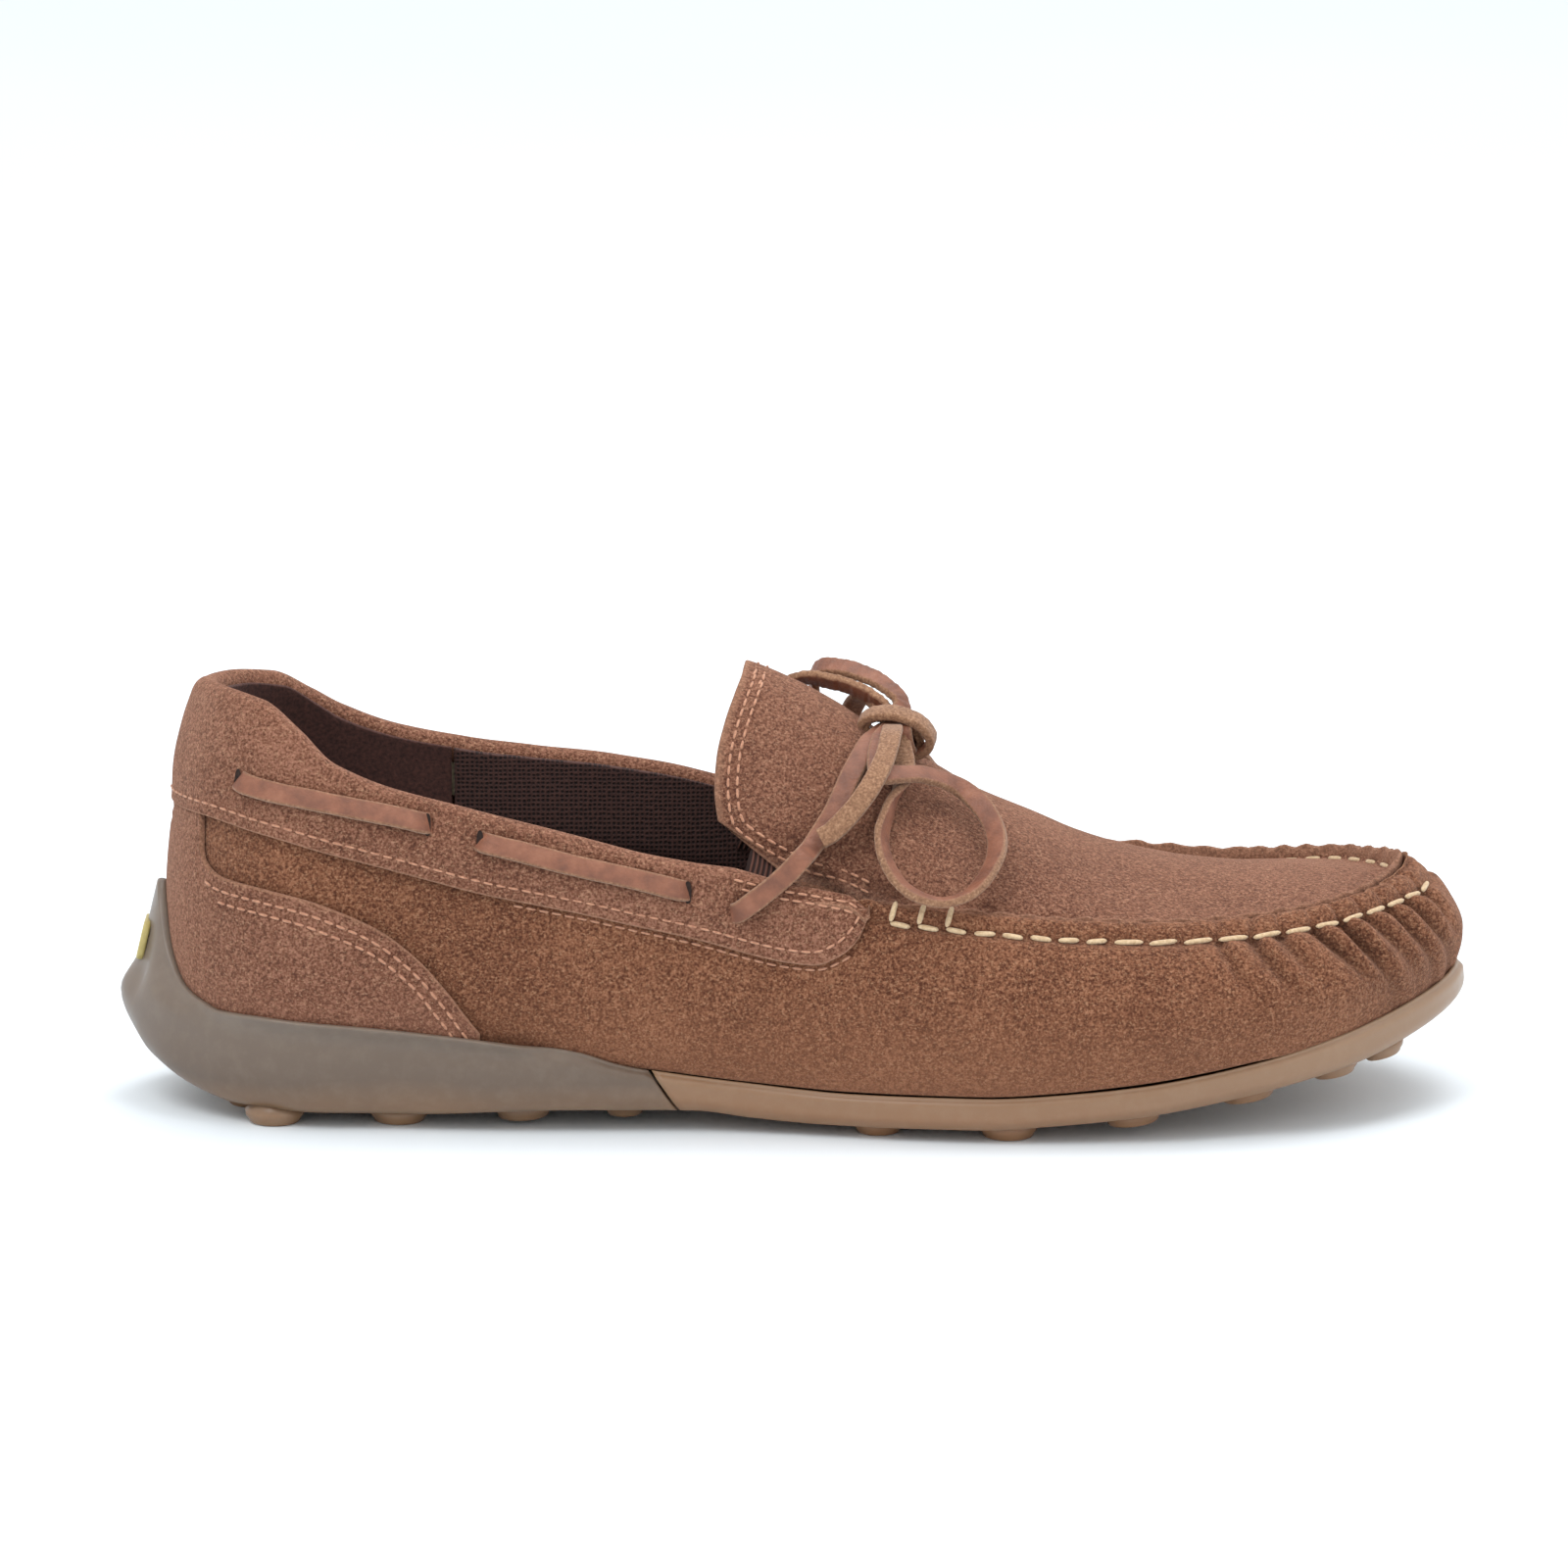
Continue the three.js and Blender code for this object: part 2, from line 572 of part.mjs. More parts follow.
// Section of the rubber: inner face along the wrap, outer face from the bottom up to the rim.
function soleSection(side, p) {
  const reach = wallReach[side](p);
  const edge = place(side, p, reach, 0);
  const rim = rubberRimZ(edge.x) + finRise(p);
  const bottom = soleBottomZ(edge.x);
  const inHeel = 1 - smooth(p, -60, -50);
  const faceOffset = lerp(CLEARANCE, OVERLAY_OUT + 3 * CLEARANCE, inHeel);
  const flare = p < -60 ? heelReach(p) : lerp(3, 2.2, smooth(p, -60, 0));
  const fin = smooth(finRise(p), 2, 20);

  const inner = [
    ...steps(FLOOR_COLUMNS).slice(0, -1).map((k) => onFloor(side, p, k, -CLEARANCE)),
    ...CORNER_SHARES.map((share, k) =>
      onProfile(side, p, share, lerp(CLEARANCE, faceOffset, k / (CORNER_SHARES.length - 1))),
    ),
    ...evenly(wallFloor(side, p) + CORNER_RISE, rim, 3)
      .slice(1)
      .map((z) => onWall(side, p, z, faceOffset)),
  ];
  const wallAt = (z) => onWall(side, p, Math.max(z, wallFloor(side, p) + CORNER_RISE), 0);
  const out = (z, extra) => {
    const base = wallAt(z);
    const spine = place(side, p, 0, 0);
    const rho = Math.hypot(base.x - spine.x, base.y - spine.y);
    return place(side, p, rho + extra, z);
  };
  const lip = faceOffset + 1.5;
  const height = rim - bottom;
  const outer = [
    ...steps(2).slice(0, -1).map((k) => {
      const point = place(side, p, reach * k * 0.86, 0);
      return point.setZ(soleBottomZ(point.x));
    }),
    place(side, p, reach - lerp(8, 9, fin), bottom),
    place(side, p, reach - lerp(2.5, 4, fin), bottom + 0.3),
    out(bottom + 0.1 * height, lerp(flare * 0.45, flare * 0.25, fin)),
    out(bottom + lerp(0.32, 0.2, fin) * height, lerp(flare, flare * 0.72, fin)),
    out(bottom + lerp(0.62, 0.42, fin) * height, lerp(flare * 1.02, flare, fin)),
    out(bottom + lerp(0.86, 0.62, fin) * height, lerp(flare * 0.9, flare * 0.62, fin)),
    out(rim, lerp(lip, lip + 0.4, fin)),
  ];
  return { inner, outer };
}

// Grip pods: [x, distance from the spine as a signed share of the wall's reach, radius].
const PODS = [
  [-118, -0.3, 0.9], [-118, 0.3, 0.9], [-112, -0.78, 1], [-112, 0.78, 1], [-96, 0, 1],
  [-85, -0.74, 1], [-85, 0.74, 1], [-69, 0, 1], [-58, -0.72, 1], [-58, 0.72, 1], [-43, 0, 0.9],
  [-36, -0.7, 0.7], [-36, 0.7, 0.7], [2, 0, 0.9], [19, -0.78, 0.85], [19, 0.76, 0.85], [33, 0, 1],
  [47, -0.8, 1], [47, 0.78, 1], [61, 0, 1], [74, -0.78, 1], [74, 0.78, 1], [88, 0, 1],
  [99, -0.74, 1], [99, 0.74, 1], [112, 0, 0.95], [122, -0.5, 0.75], [122, 0.55, 0.75],
];
const POD_HEIGHT = 2.7;

function podSolid([x, share, scale]) {
  const side = share < 0 ? LATERAL : MEDIAL;
  const y = spineY(x) + side * Math.abs(share) * wallReach[side](Math.min(x, TOE_SPINE_X));
  const radius = POD_RADIUS * scale;
  const root = soleBottomZ(x);
  const foot = Math.max(0, root - POD_HEIGHT);
  const flat = foot < 0.4 ? 0 : foot;
  const slope = (soleBottomZ(x + 6) - soleBottomZ(x - 6)) / 12;
  const tall = root + 2.4 - flat;
  const cylinder = new THREE.CylinderGeometry(radius, radius * 0.8, tall, POD_SEGMENTS);
  const body = new THREE.Mesh(cylinder.rotateX(Math.PI / 2));
  body.position.set(x, y, flat + tall / 2);
  if (flat > 0) body.rotation.y = -Math.atan(slope);
  body.updateMatrix();
  return solidOf(cylinder.applyMatrix4(body.matrix));
}

function soleUnits() {
  const sections = roundTheFoot().map(({ side, p }) => soleSection(side, p));
  const rows = (key) => sections.map((section) => section[key]);
  let whole = solidOf(sheet(rows("outer"), rows("inner"), { meetsAtSpine: true, loop: true }));
  PODS.forEach((pod) => {
    whole = whole.add(podSolid(pod));
  });
  const span = 400;
  const half = (sign) => {
    const box = new THREE.BoxGeometry(span, span, span);
    box.translate(sign * (span / 2 + SOLE_SPLIT_GAP / 2), 0, 0);
    box.rotateY(SPLIT.tilt);
    box.translate(SPLIT.x, 0, SPLIT.z);
    return whole.intersect(solidOf(box));
  };
  return { forefoot: half(1), heel: half(-1) };
}
const SPLIT = { x: -27, z: 9, tilt: Math.atan(6.2 / 9) };

// Small plain plate let into the back of the rubber fin.
const BADGE_SEAT = { x: -141.6, z: 35, lean: 0.235 };

function badgeShape(grow) {
  const { width, height, thickness } = BADGE;
  const [w, h, r] = [width / 2 + grow, height / 2 + grow, 2.2];
  const shape = new THREE.Shape();
  shape.moveTo(-w + r, -h);
  shape.lineTo(w - r, -h);
  shape.absarc(w - r, -h + r, r, -Math.PI / 2, 0);
  shape.absarc(w - r, h - r, r, 0, Math.PI / 2);
  shape.absarc(-w + r, h - r, r, Math.PI / 2, Math.PI);
  shape.absarc(-w + r, -h + r, r, Math.PI, 1.5 * Math.PI);
  const geometry = new THREE.ExtrudeGeometry(shape, {
    depth: thickness + 2 * grow,
    bevelEnabled: false,
    curveSegments: 3,
  });
  geometry.translate(0, 0, -thickness / 2 - grow);
  geometry.rotateX(Math.PI / 2);
  geometry.rotateZ(-Math.PI / 2);
  geometry.rotateY(BADGE_SEAT.lean);
  geometry.translate(BADGE_SEAT.x, 0, BADGE_SEAT.z);
  return geometry;
}

// ---------------------------------------------------------------- lace

// A flat thong along points, each with the direction that its broad face looks.
function thong(path, width = LACE_WIDTH, thickness = LACE_THICKNESS) {
  const corners = path.map(({ at, face }, i) => {
    const before = path[Math.max(i - 1, 0)].at;
    const after = path[Math.min(i + 1, path.length - 1)].at;
    const along = after.clone().sub(before).normalize();
    const normal = face.clone().addScaledVector(along, -face.dot(along)).normalize();
    const across = along.clone().cross(normal);
    const corner = (a, n) =>
      at.clone().addScaledVector(across, (a * width) / 2).addScaledVector(normal, (n * thickness) / 2);
    return { top: [corner(-1, 1), corner(1, 1)], bottom: [corner(-1, -1), corner(1, -1)] };
  });
  return sheet(corners.map((c) => c.top), corners.map((c) => c.bottom));
}

// The lace's level in the collar: out over the band, or in behind it.
const LACE_OUT = OVERLAY_OUT + CLEARANCE + LACE_THICKNESS / 2;
const LACE_IN = -0.35 - LACE_THICKNESS / 2;
const laceZ = curve([
  [P_HEEL, 78], [-135, 77.8], [-121.5, 75.6], [-98, 71.2], [-78, 67.3], [-66.7, 63.9],
  [-44, 58.8], [-22, 53.6], [-11, 50.2], [-5, 49.6],
]);
const LACE_FRONT = -6;
// Slots through the collar band, from the back: the lace goes out at the first and in at the next.
const SLOTS = [-120.5, -78, -66.7, -22, -11];
const SLOT_RUN = 5; // length over which the lace crosses the band

function laceLevel(p) {
  const outside = SLOTS.reduce((level, slot, i) => {
    const crossed = smooth(p, slot - SLOT_RUN / 2, slot + SLOT_RUN / 2);
    return level + (i % 2 ? -crossed : crossed);
  }, 0);
  return lerp(LACE_IN, LACE_OUT, outside);
}

function laceRun() {
  const marks = [0, 8, 16, 22].map((behind) => P_HEEL + behind);
  const nearSlots = SLOTS.flatMap((s) => [-0.5, -0.2, 0.2, 0.5].map((k) => s + k * SLOT_RUN));
  const plain = [-110, -100, -90, -55, -44, -33, LACE_FRONT];
  const clear = plain.filter((p) => p > marks.at(-1) + CLOSEST_STATIONS);
  const side = [...marks, ...nearSlots, ...clear].filter((p) => p >= P_HEEL).sort((a, b) => b - a);
  return [
    ...side.map((p) => ({ side: LATERAL, p })),
    ...side.slice(0, -1).reverse().map((p) => ({ side: MEDIAL, p })),
  ];
}

function laceCollar(growWidth = 0, growThickness = 0) {
  const path = laceRun().map(({ side, p }) => {
    const at = onWall(side, p, laceZ(p), laceLevel(p));
    return { at, face: onWall(side, p, laceZ(p), laceLevel(p) + 1).sub(at) };
  });
  return thong(path, LACE_WIDTH + growWidth, LACE_THICKNESS + growThickness);
}

// Places for the free laces, each with the direction that the lace's broad face looks.
function overWall(side, p, z, offset) {
  const at = onWall(side, p, z, offset);
  return { at, face: onWall(side, p, z, offset + 1).sub(at) };
}
function overApron(side, p, share, lift) {
  const at = onApron(side, p, share, lift);
  return { at, face: onApron(side, p, share, lift + 1).sub(at) };
}

function freeThong(places, count) {
  const line = new THREE.CatmullRomCurve3(places.map(({ at }) => at), false, "centripetal");
  const faces = new THREE.CatmullRomCurve3(places.map(({ face }) => face), false, "centripetal");
  return thong(steps(count).map((k) => ({ at: line.getPoint(k), face: faces.getPoint(k) })));
}

const KNOT = { side: LATERAL, p: 22.8, share: 0.9, radii: [7, 5.6, 3.6], lean: 0.62 };
const knotPlace = overApron(KNOT.side, KNOT.p, KNOT.share, KNOT.radii[2] + 2);

function bowKnot(grow = 0) {
  const ball = new THREE.Mesh(new THREE.SphereGeometry(1, 16, 10));
  ball.scale.set(...KNOT.radii.map((r) => r + grow));
  ball.rotation.y = KNOT.lean;
  ball.position.copy(knotPlace.at);
  ball.updateMatrix();
  return ball.geometry.applyMatrix4(ball.matrix);
}

// Free laces, from the knot outwards: station, share from edge to crown, lift off the suede in lace
// widths, and how far the smooth face turns from the suede's outward direction towards the loop's
// centre, in degrees.
const LOOP_LATERAL = [
  [24.5, 0.67, 0.71, 150], [22.2, 0.5, 0.71, 150], [19.4, 0.34, 0.79, 95], [18.8, 0.2, 0.88, 68],
  [21, 0.1, 1, 60], [27, 0.07, 1.23, 60], [34.5, 0.07, 1.33, 60], [41.5, 0.2, 1.31, 55],
  [44.6, 0.45, 1.23, 42], [41.4, 0.58, 1.1, 28], [35.4, 0.7, 1, 18], [28.6, 0.69, 1.17, 10],
  [23, 0.57, 1.5, 6], [19.6, 0.62, 1.42, 6], [20, 0.78, 1.25, 6],
];
const LOOP_MEDIAL = [
  [17.9, 0.9, 1.08, 30], [10.6, 0.86, 0.96, 30], [2, 0.75, 0.83, 30], [-2.6, 0.58, 0.92, 30],
  [1, 0.46, 1.25, 20], [7.5, 0.6, 1.67, 10], [15, 0.75, 1.75, 0], [20.5, 0.9, 1.75, 0],
];
const END_LATERAL = [[18.6, 0.74, 2.3, 0], [16, 0.55, 1.97, 0], [12, 0.36, 1.42, 0], [8.3, 0.16, 1.04, 0]];
const END_MEDIAL = [[28, 0.8, 0.92, 0], [34, 0.55, 0.71, 0], [38, 0.34, 0.67, 0]];
const STANDING = [[2, 0.1, 0.58, 0], [8, 0.34, 0.44, 0], [14, 0.6, 0.48, 0], [18.5, 0.78, 0.48, 0]];

function along(side, points) {
  const places = points.map(([p, share, lift]) => overApron(side, p, share, lift * LACE_WIDTH));
  const centre = new THREE.Vector3();
  places.forEach(({ at }) => centre.addScaledVector(at, 1 / places.length));
  return places.map(({ at, face }, i) => {
    const turn = THREE.MathUtils.degToRad(points[i][3]);
    const inward = centre.clone().sub(at).normalize();
    const turned = face.clone().multiplyScalar(Math.cos(turn)).addScaledVector(inward, Math.sin(turn));
    return { at, face: turned };
  });
}
const bowLoop = (side, points) => freeThong([knotPlace, ...along(side, points), knotPlace], 40);
const laceEnd = (side, points) => freeThong([knotPlace, ...along(side, points)], 12);

function laceStanding(side) {
  const rise = [
    overWall(side, LACE_FRONT + 3.4, laceZ(LACE_FRONT) + 1.5, LACE_OUT),
    overWall(side, LACE_FRONT + 4.2, topZ(LACE_FRONT + 4), LACE_OUT + 0.4),
    overWall(side, LACE_FRONT + 5, topZ(LACE_FRONT + 5) + 3.8, -1.6),
  ];
  return freeThong([...rise, ...along(side, STANDING)], 20);
}

// ---------------------------------------------------------------- thread of the apron seam

const THREAD_DROP = 4.6; // below the top of the ridge
const THREAD_START = 20;

function apronThread() {
  const path = bothSides(
    [...evenly(THREAD_START, TOE_SPINE_X, 9), ...evenly(TOE_SPINE_X, P_TOE, 9).slice(1)],
  ).map(({ side, p }) => overWall(side, p, topZ(p) - THREAD_DROP, CLEARANCE + THREAD_DIAMETER / 2));
  return thong(path, THREAD_DIAMETER, THREAD_DIAMETER);
}

// ---------------------------------------------------------------- assembly

const material = (color, roughness, metalness = 0) =>
  new THREE.MeshStandardMaterial({ color, roughness, metalness });
const suede = material(0x935c42, 0.95);
const overlaySuede = material(0x9a6248, 0.95);
const meshLining = material(0x3a2626, 0.95);
const heelLiningSuede = material(0x5a3a34, 0.9);
const gum = material(0xa88c6e, 0.45);
const gumDark = material(0x85735f, 0.4);
const foam = material(0xd9cdb4, 0.95);
const board = material(0xb59a76, 0.9);
const elastic = material(0x6d463b, 0.9);
const leather = material(0xa06650, 0.6);
const cotton = material(0xdcc4a0, 0.85);
const badgeMaterial = material(0xb7a36a, 0.4, 0.2);

const shoe = new THREE.Group();
const pieces = new THREE.Group();
shoe.add(pieces);
function add(name, geometry, look) {
  const mesh = new THREE.Mesh(geometry, look.clone());
  mesh.name = name;
  pieces.add(mesh);
}

const cut = (geometry, ...cutters) =>
  geometryFrom(cutters.reduce((solid, cutter) => solid.subtract(solidOf(cutter)), solidOf(geometry)));

const sole = soleUnits();
const laceCutter = laceCollar(2 * CLEARANCE + 0.4, 2 * CLEARANCE);

add("outsole_forefoot", geometryFrom(sole.forefoot), gum);
add("outsole_heel", geometryFrom(sole.heel.subtract(solidOf(badgeShape(CLEARANCE)))), gumDark);
add("heel_badge", badgeShape(0), badgeMaterial);
add("moccasin_wrap", moccasinWrap(), suede);
add("apron", apron(), suede);
add("tongue", tongue(), suede);
add("heel_counter_cover", heelCounterCover(), overlaySuede);
add("heel_stiffener", heelStiffener(), board);
add("collar_band", cut(collarBand(), laceCutter), overlaySuede);
add("collar_foam", cut(collarFoam(), laceCutter), foam);
add("lace_collar", laceCollar(), leather);
add("lining_heel", liningHeel(), heelLiningSuede);
add("lining_quarter_lateral", liningQuarter(LATERAL), meshLining);
add("lining_quarter_medial", liningQuarter(MEDIAL), meshLining);
add("lining_vamp", liningVamp(), meshLining);
add("insole_foam", insoleFoam(), foam);
add("sock_liner", sockLiner(), meshLining);
add("gore_lateral", gore(LATERAL), elastic);
add("gore_medial", gore(MEDIAL), elastic);
add("apron_thread", apronThread(), cotton);
add("bow_knot", bowKnot(), leather);
const clearOfKnot = (geometry) => cut(geometry, bowKnot(CLEARANCE));
add("bow_loop_lateral", clearOfKnot(bowLoop(LATERAL, LOOP_LATERAL)), leather);
add("bow_loop_medial", clearOfKnot(bowLoop(MEDIAL, LOOP_MEDIAL)), leather);
add("lace_end_lateral", clearOfKnot(laceEnd(LATERAL, END_LATERAL)), leather);
add("lace_end_medial", clearOfKnot(laceEnd(MEDIAL, END_MEDIAL)), leather);
add("lace_standing_lateral", clearOfKnot(laceStanding(LATERAL)), leather);
add("lace_standing_medial", clearOfKnot(laceStanding(MEDIAL)), leather);

// The origin goes on the ground under the middle of the shoe.
const bounds = new THREE.Box3().setFromObject(pieces);
const middle = bounds.getCenter(new THREE.Vector3());
pieces.position.set(-middle.x, -middle.y, -bounds.min.z);

export default shoe;
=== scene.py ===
import math

import bmesh
import bpy
import numpy as np
from mathutils import Euler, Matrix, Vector


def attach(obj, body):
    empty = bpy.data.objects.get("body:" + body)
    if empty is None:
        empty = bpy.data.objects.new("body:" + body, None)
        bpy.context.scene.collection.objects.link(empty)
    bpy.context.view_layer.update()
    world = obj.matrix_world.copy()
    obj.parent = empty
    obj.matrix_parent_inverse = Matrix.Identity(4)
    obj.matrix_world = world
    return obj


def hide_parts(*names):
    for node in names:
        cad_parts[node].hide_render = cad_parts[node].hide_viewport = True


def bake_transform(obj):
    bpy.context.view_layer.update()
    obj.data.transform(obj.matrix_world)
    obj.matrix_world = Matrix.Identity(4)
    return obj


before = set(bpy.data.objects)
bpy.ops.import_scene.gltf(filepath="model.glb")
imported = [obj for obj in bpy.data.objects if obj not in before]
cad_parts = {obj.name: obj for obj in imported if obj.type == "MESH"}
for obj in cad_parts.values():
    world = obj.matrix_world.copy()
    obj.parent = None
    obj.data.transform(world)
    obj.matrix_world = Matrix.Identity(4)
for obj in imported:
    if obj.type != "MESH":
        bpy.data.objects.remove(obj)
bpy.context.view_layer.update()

# ------------------------------------------------------------------ camera

AIM = Vector((-0.0022, 0.0004, 0.0692))
ELEVATION, DISTANCE = math.radians(12), 2.0
VIEW_WIDTH = 0.3427  # seen at the aim, in metres
SENSOR = 36
camera_data = bpy.data.cameras.new("camera")
camera_data.sensor_width = SENSOR
camera_data.lens = SENSOR * DISTANCE / VIEW_WIDTH
camera_data.clip_end = 20
camera = bpy.data.objects.new("camera", camera_data)
bpy.context.scene.collection.objects.link(camera)
camera.location = AIM + DISTANCE * Vector((0, -math.cos(ELEVATION), math.sin(ELEVATION)))
camera.rotation_euler = (AIM - camera.location).to_track_quat("-Z", "Y").to_euler()
bpy.context.scene.camera = camera

# ------------------------------------------------------------------ shape of the shoe, in millimetres

SHIFT = np.array([-0.8, 0.4, 0.0])  # from the sections' frame to the row frame
LATERAL, MEDIAL = -1, 1
SIDES = ((LATERAL, "lateral"), (MEDIAL, "medial"))
HEEL_X, TOE_X = -98.0, 100.0
HEEL_FAN, TOE_FAN = 53.0, 72.0
P_HEEL, P_TOE = HEEL_X - HEEL_FAN, TOE_X + TOE_FAN
UPPER = 1.6
OVERLAY_IN, OVERLAY_OUT = 0.42, 1.82  # faces of what is sewn on the wrap, out from it
CORNER_REACH, CORNER_RISE = 12.0, 9.0
BAND_FRONT = 17.0
LACE_WIDTH, LACE_THICKNESS = 4.8, 1.8


def metres(points):
    return (np.asarray(points, float) + SHIFT) * 0.001


def curve(points):
    """Smooth curve through (x, y) points, with no overshoot."""
    xs, ys = np.array(points, float).T
    h = np.diff(xs)
    slope = np.diff(ys) / h
    m = np.empty(len(xs))
    m[0], m[-1] = slope[0], slope[-1]
    a, b = slope[:-1], slope[1:]
    with np.errstate(all="ignore"):
        m[1:-1] = np.where(a * b <= 0, 0, 2 * a * b / (a + b))

    def at(x):
        x = np.clip(x, xs[0], xs[-1])
        i = np.clip(np.searchsorted(xs, x, side="right") - 1, 0, len(xs) - 2)
        t = (x - xs[i]) / h[i]
        t2, t3 = t * t, t * t * t
        return (
            ys[i] * (2 * t3 - 3 * t2 + 1)
            + h[i] * m[i] * (t3 - 2 * t2 + t)
            + ys[i + 1] * (3 * t2 - 2 * t3)
            + h[i] * m[i + 1] * (t3 - t2)
        )

    return at


def smooth(x, low, high):
    t = np.clip((x - low) / (high - low), 0, 1)
    return t * t * (3 - 2 * t)


def mix(a, b, t):
    return a + (b - a) * t


spine_y = curve([(-20, 0), (60, 2.2), (100, 4)])
wall_reach = {
    LATERAL: curve([
        (P_HEEL, 35.5), (-125, 34.5), (-98, 34), (-60, 36.5), (-25, 38.5), (0, 42.5), (25, 48.5),
        (50, 52), (75, 52.5), (100, 48.5), (118, 45.2), (138, 43.6), (P_TOE, 46.5)]),
    MEDIAL: curve([
        (P_HEEL, 35.5), (-125, 34.2), (-98, 33.5), (-60, 33.5), (-25, 33), (0, 36), (25, 41.5),
        (50, 46), (75, 46.5), (100, 43), (118, 42), (138, 43.4), (P_TOE, 46.5)]),
}
floor_z = curve([
    (-135, 13), (-98, 12.5), (-60, 11.5), (-30, 9.5), (-10, 7.6), (13, 6.2), (41, 6.3), (58, 7.2),
    (72, 8.6), (90, 11.2), (107, 14.4), (125, 18.4), (147, 25)])
rim_z = curve([
    (-113, 24.8), (-98, 23.7), (-66, 20.6), (-44, 17.4), (-30, 14.2), (-11, 11.4), (13, 9.8),
    (41, 9.9), (63, 11.2), (90, 14.6), (107, 18), (125, 22.6), (137, 26), (147, 29)])
sole_z = curve([
    (-134, 6), (-121, 3), (-103, 2.7), (-82, 2.7), (-53, 4), (-24, 4.4), (-10, 3.4), (8, 2.5),
    (41, 2.7), (55, 3.6), (72, 5.2), (90, 7.7), (107, 10.8), (125, 14.6), (136, 18), (149, 22.5)])
top_z = curve([
    (P_HEEL, 93.4), (-135, 93.6), (-120, 92.6), (-107.5, 87), (-99, 81.3), (-87, 76.7), (-70, 73.1),
    (-53, 69.2), (-33.5, 64.2), (-12, 58.6), (2, 55), (16, 52.3), (37, 50), (63, 47.5), (88, 46.5),
    (105, 47.2), (116, 47.9), (139, 49.6), (160, 50.7), (P_TOE, 51.3)])
top_rise = {
    LATERAL: curve([
        (-125, 0), (-110, -0.3), (-98, -1.1), (-85, -1.7), (-60, -2.4), (-35, -2.4), (-22, -1.5), (-12, 0)]),
    MEDIAL: curve([
        (P_HEEL, 0), (-137, -1.2), (-119, -2.2), (-108, -1.7), (-97, 0), (-72, 0.2), (-57, 1.5), (-39, 3.9),
        (-22, 5.2), (-12, 5), (2, 1.5), (12, 0)]),
}
top_inset = curve([
    (P_HEEL, 6), (-120, 7), (-107, 6), (-98, 4.5), (-70, 3), (-33, 2), (-12, 2), (16, 5.5), (37, 9),
    (63, 12.5), (88, 14.5), (105, 14), (116, 12.8), (139, 11.2), (P_TOE, 10.5)])
band_z = curve([
    (P_HEEL, 66.4), (-131, 67), (-113.5, 64.8), (-96.7, 60.6), (-80, 56.4), (-65.7, 52.9),
    (-52.8, 50.5), (-43, 48.6), (-33, 46.4), (-23, 44.4), (-16.4, 42.9), (-8.5, 40.9), (-1.2, 39.5),
    (5.2, 39), (10.2, 40.9), (14, 44), (16.2, 48), (17, 50.4)])
counter_z = curve([
    (-131.5, 66.5), (-130, 57.5), (-124, 53.9), (-114, 52.6), (-104, 50.6), (-96.7, 47.9),
    (-88.6, 44.2), (-80.4, 38.1), (-74, 31), (-69.7, 25.3), (-67, 21.9)])
COUNTER_FRONT = -67.0
crown_z = curve([
    (-16, 98.5), (-8.5, 96.4), (1, 92.3), (10.6, 86.9), (14.2, 84.4), (26.6, 75.6), (32, 72.8),
    (40, 67.9), (53.7, 62), (63, 57.8), (72, 54.8), (88, 51.5), (104, 50.2), (136, 50)])
arch_power = curve([(0, 0.72), (40, 0.78), (80, 1)])
tongue_rear = {
    LATERAL: curve([
        (0, 3), (0.006, -1.5), (0.0125, -6), (0.02, -10), (0.036, -12.9), (0.07, -14.9), (0.16, -15.7),
        (0.264, -15.3), (0.426, -13.6), (0.612, -11.4), (0.8, -9.8), (1, -9.2)]),
    MEDIAL: curve([
        (0, -7), (0.065, -10), (0.16, -11), (0.264, -11), (0.426, -10), (0.612, -9.2), (1, -9.2)]),
}
lace_z = curve([
    (P_HEEL, 78), (-135, 77.8), (-121.5, 75.6), (-98, 71.2), (-78, 67.3), (-66.7, 63.9),
    (-44, 58.8), (-22, 53.6), (-11, 50.2), (-5, 49.6)])
heel_reach = curve([
    (P_HEEL - 1, 13.2), (P_HEEL, 13.2), (-145, 12.2), (-137, 8.8), (-126, 5), (-110, 3.2), (-90, 3)])
fin_rise = curve([
    (P_HEEL - 1, 23.2), (P_HEEL, 23.2), (-147, 20.5), (-141, 10), (-134, 3.2), (-124, 0)])


def fan_turn(p):
    return np.where(
        p > TOE_X, (p - TOE_X) / TOE_FAN, np.where(p < HEEL_X, (p - HEEL_X) / HEEL_FAN, 0)
    ) * (math.pi / 2)


def place(side, p, rho, z):
    p, rho, z = np.broadcast_arrays(np.asarray(p, float), rho, z)
    turn, x = fan_turn(p), np.clip(p, HEEL_X, TOE_X)
    return np.stack([x + rho * np.sin(turn), spine_y(x) + side * rho * np.cos(turn), z], -1)


def draped(side, p, rho, height, rise=0.0):
    """Points at distances rho from the spine, on a surface whose height depends on x alone."""
    points = place(side, p, rho, 0.0)
    points[:, 2] = height(points[:, 0]) + rise
    return points


def topline(side, p):
    """Top of the collar: the medial side stands higher towards the front."""
    return top_z(p) + top_rise[side](p)


def wall_floor(side, p):
    edge = wall_reach[side](p) - CORNER_REACH
    return floor_z(place(side, p, edge, 0)[..., 0])


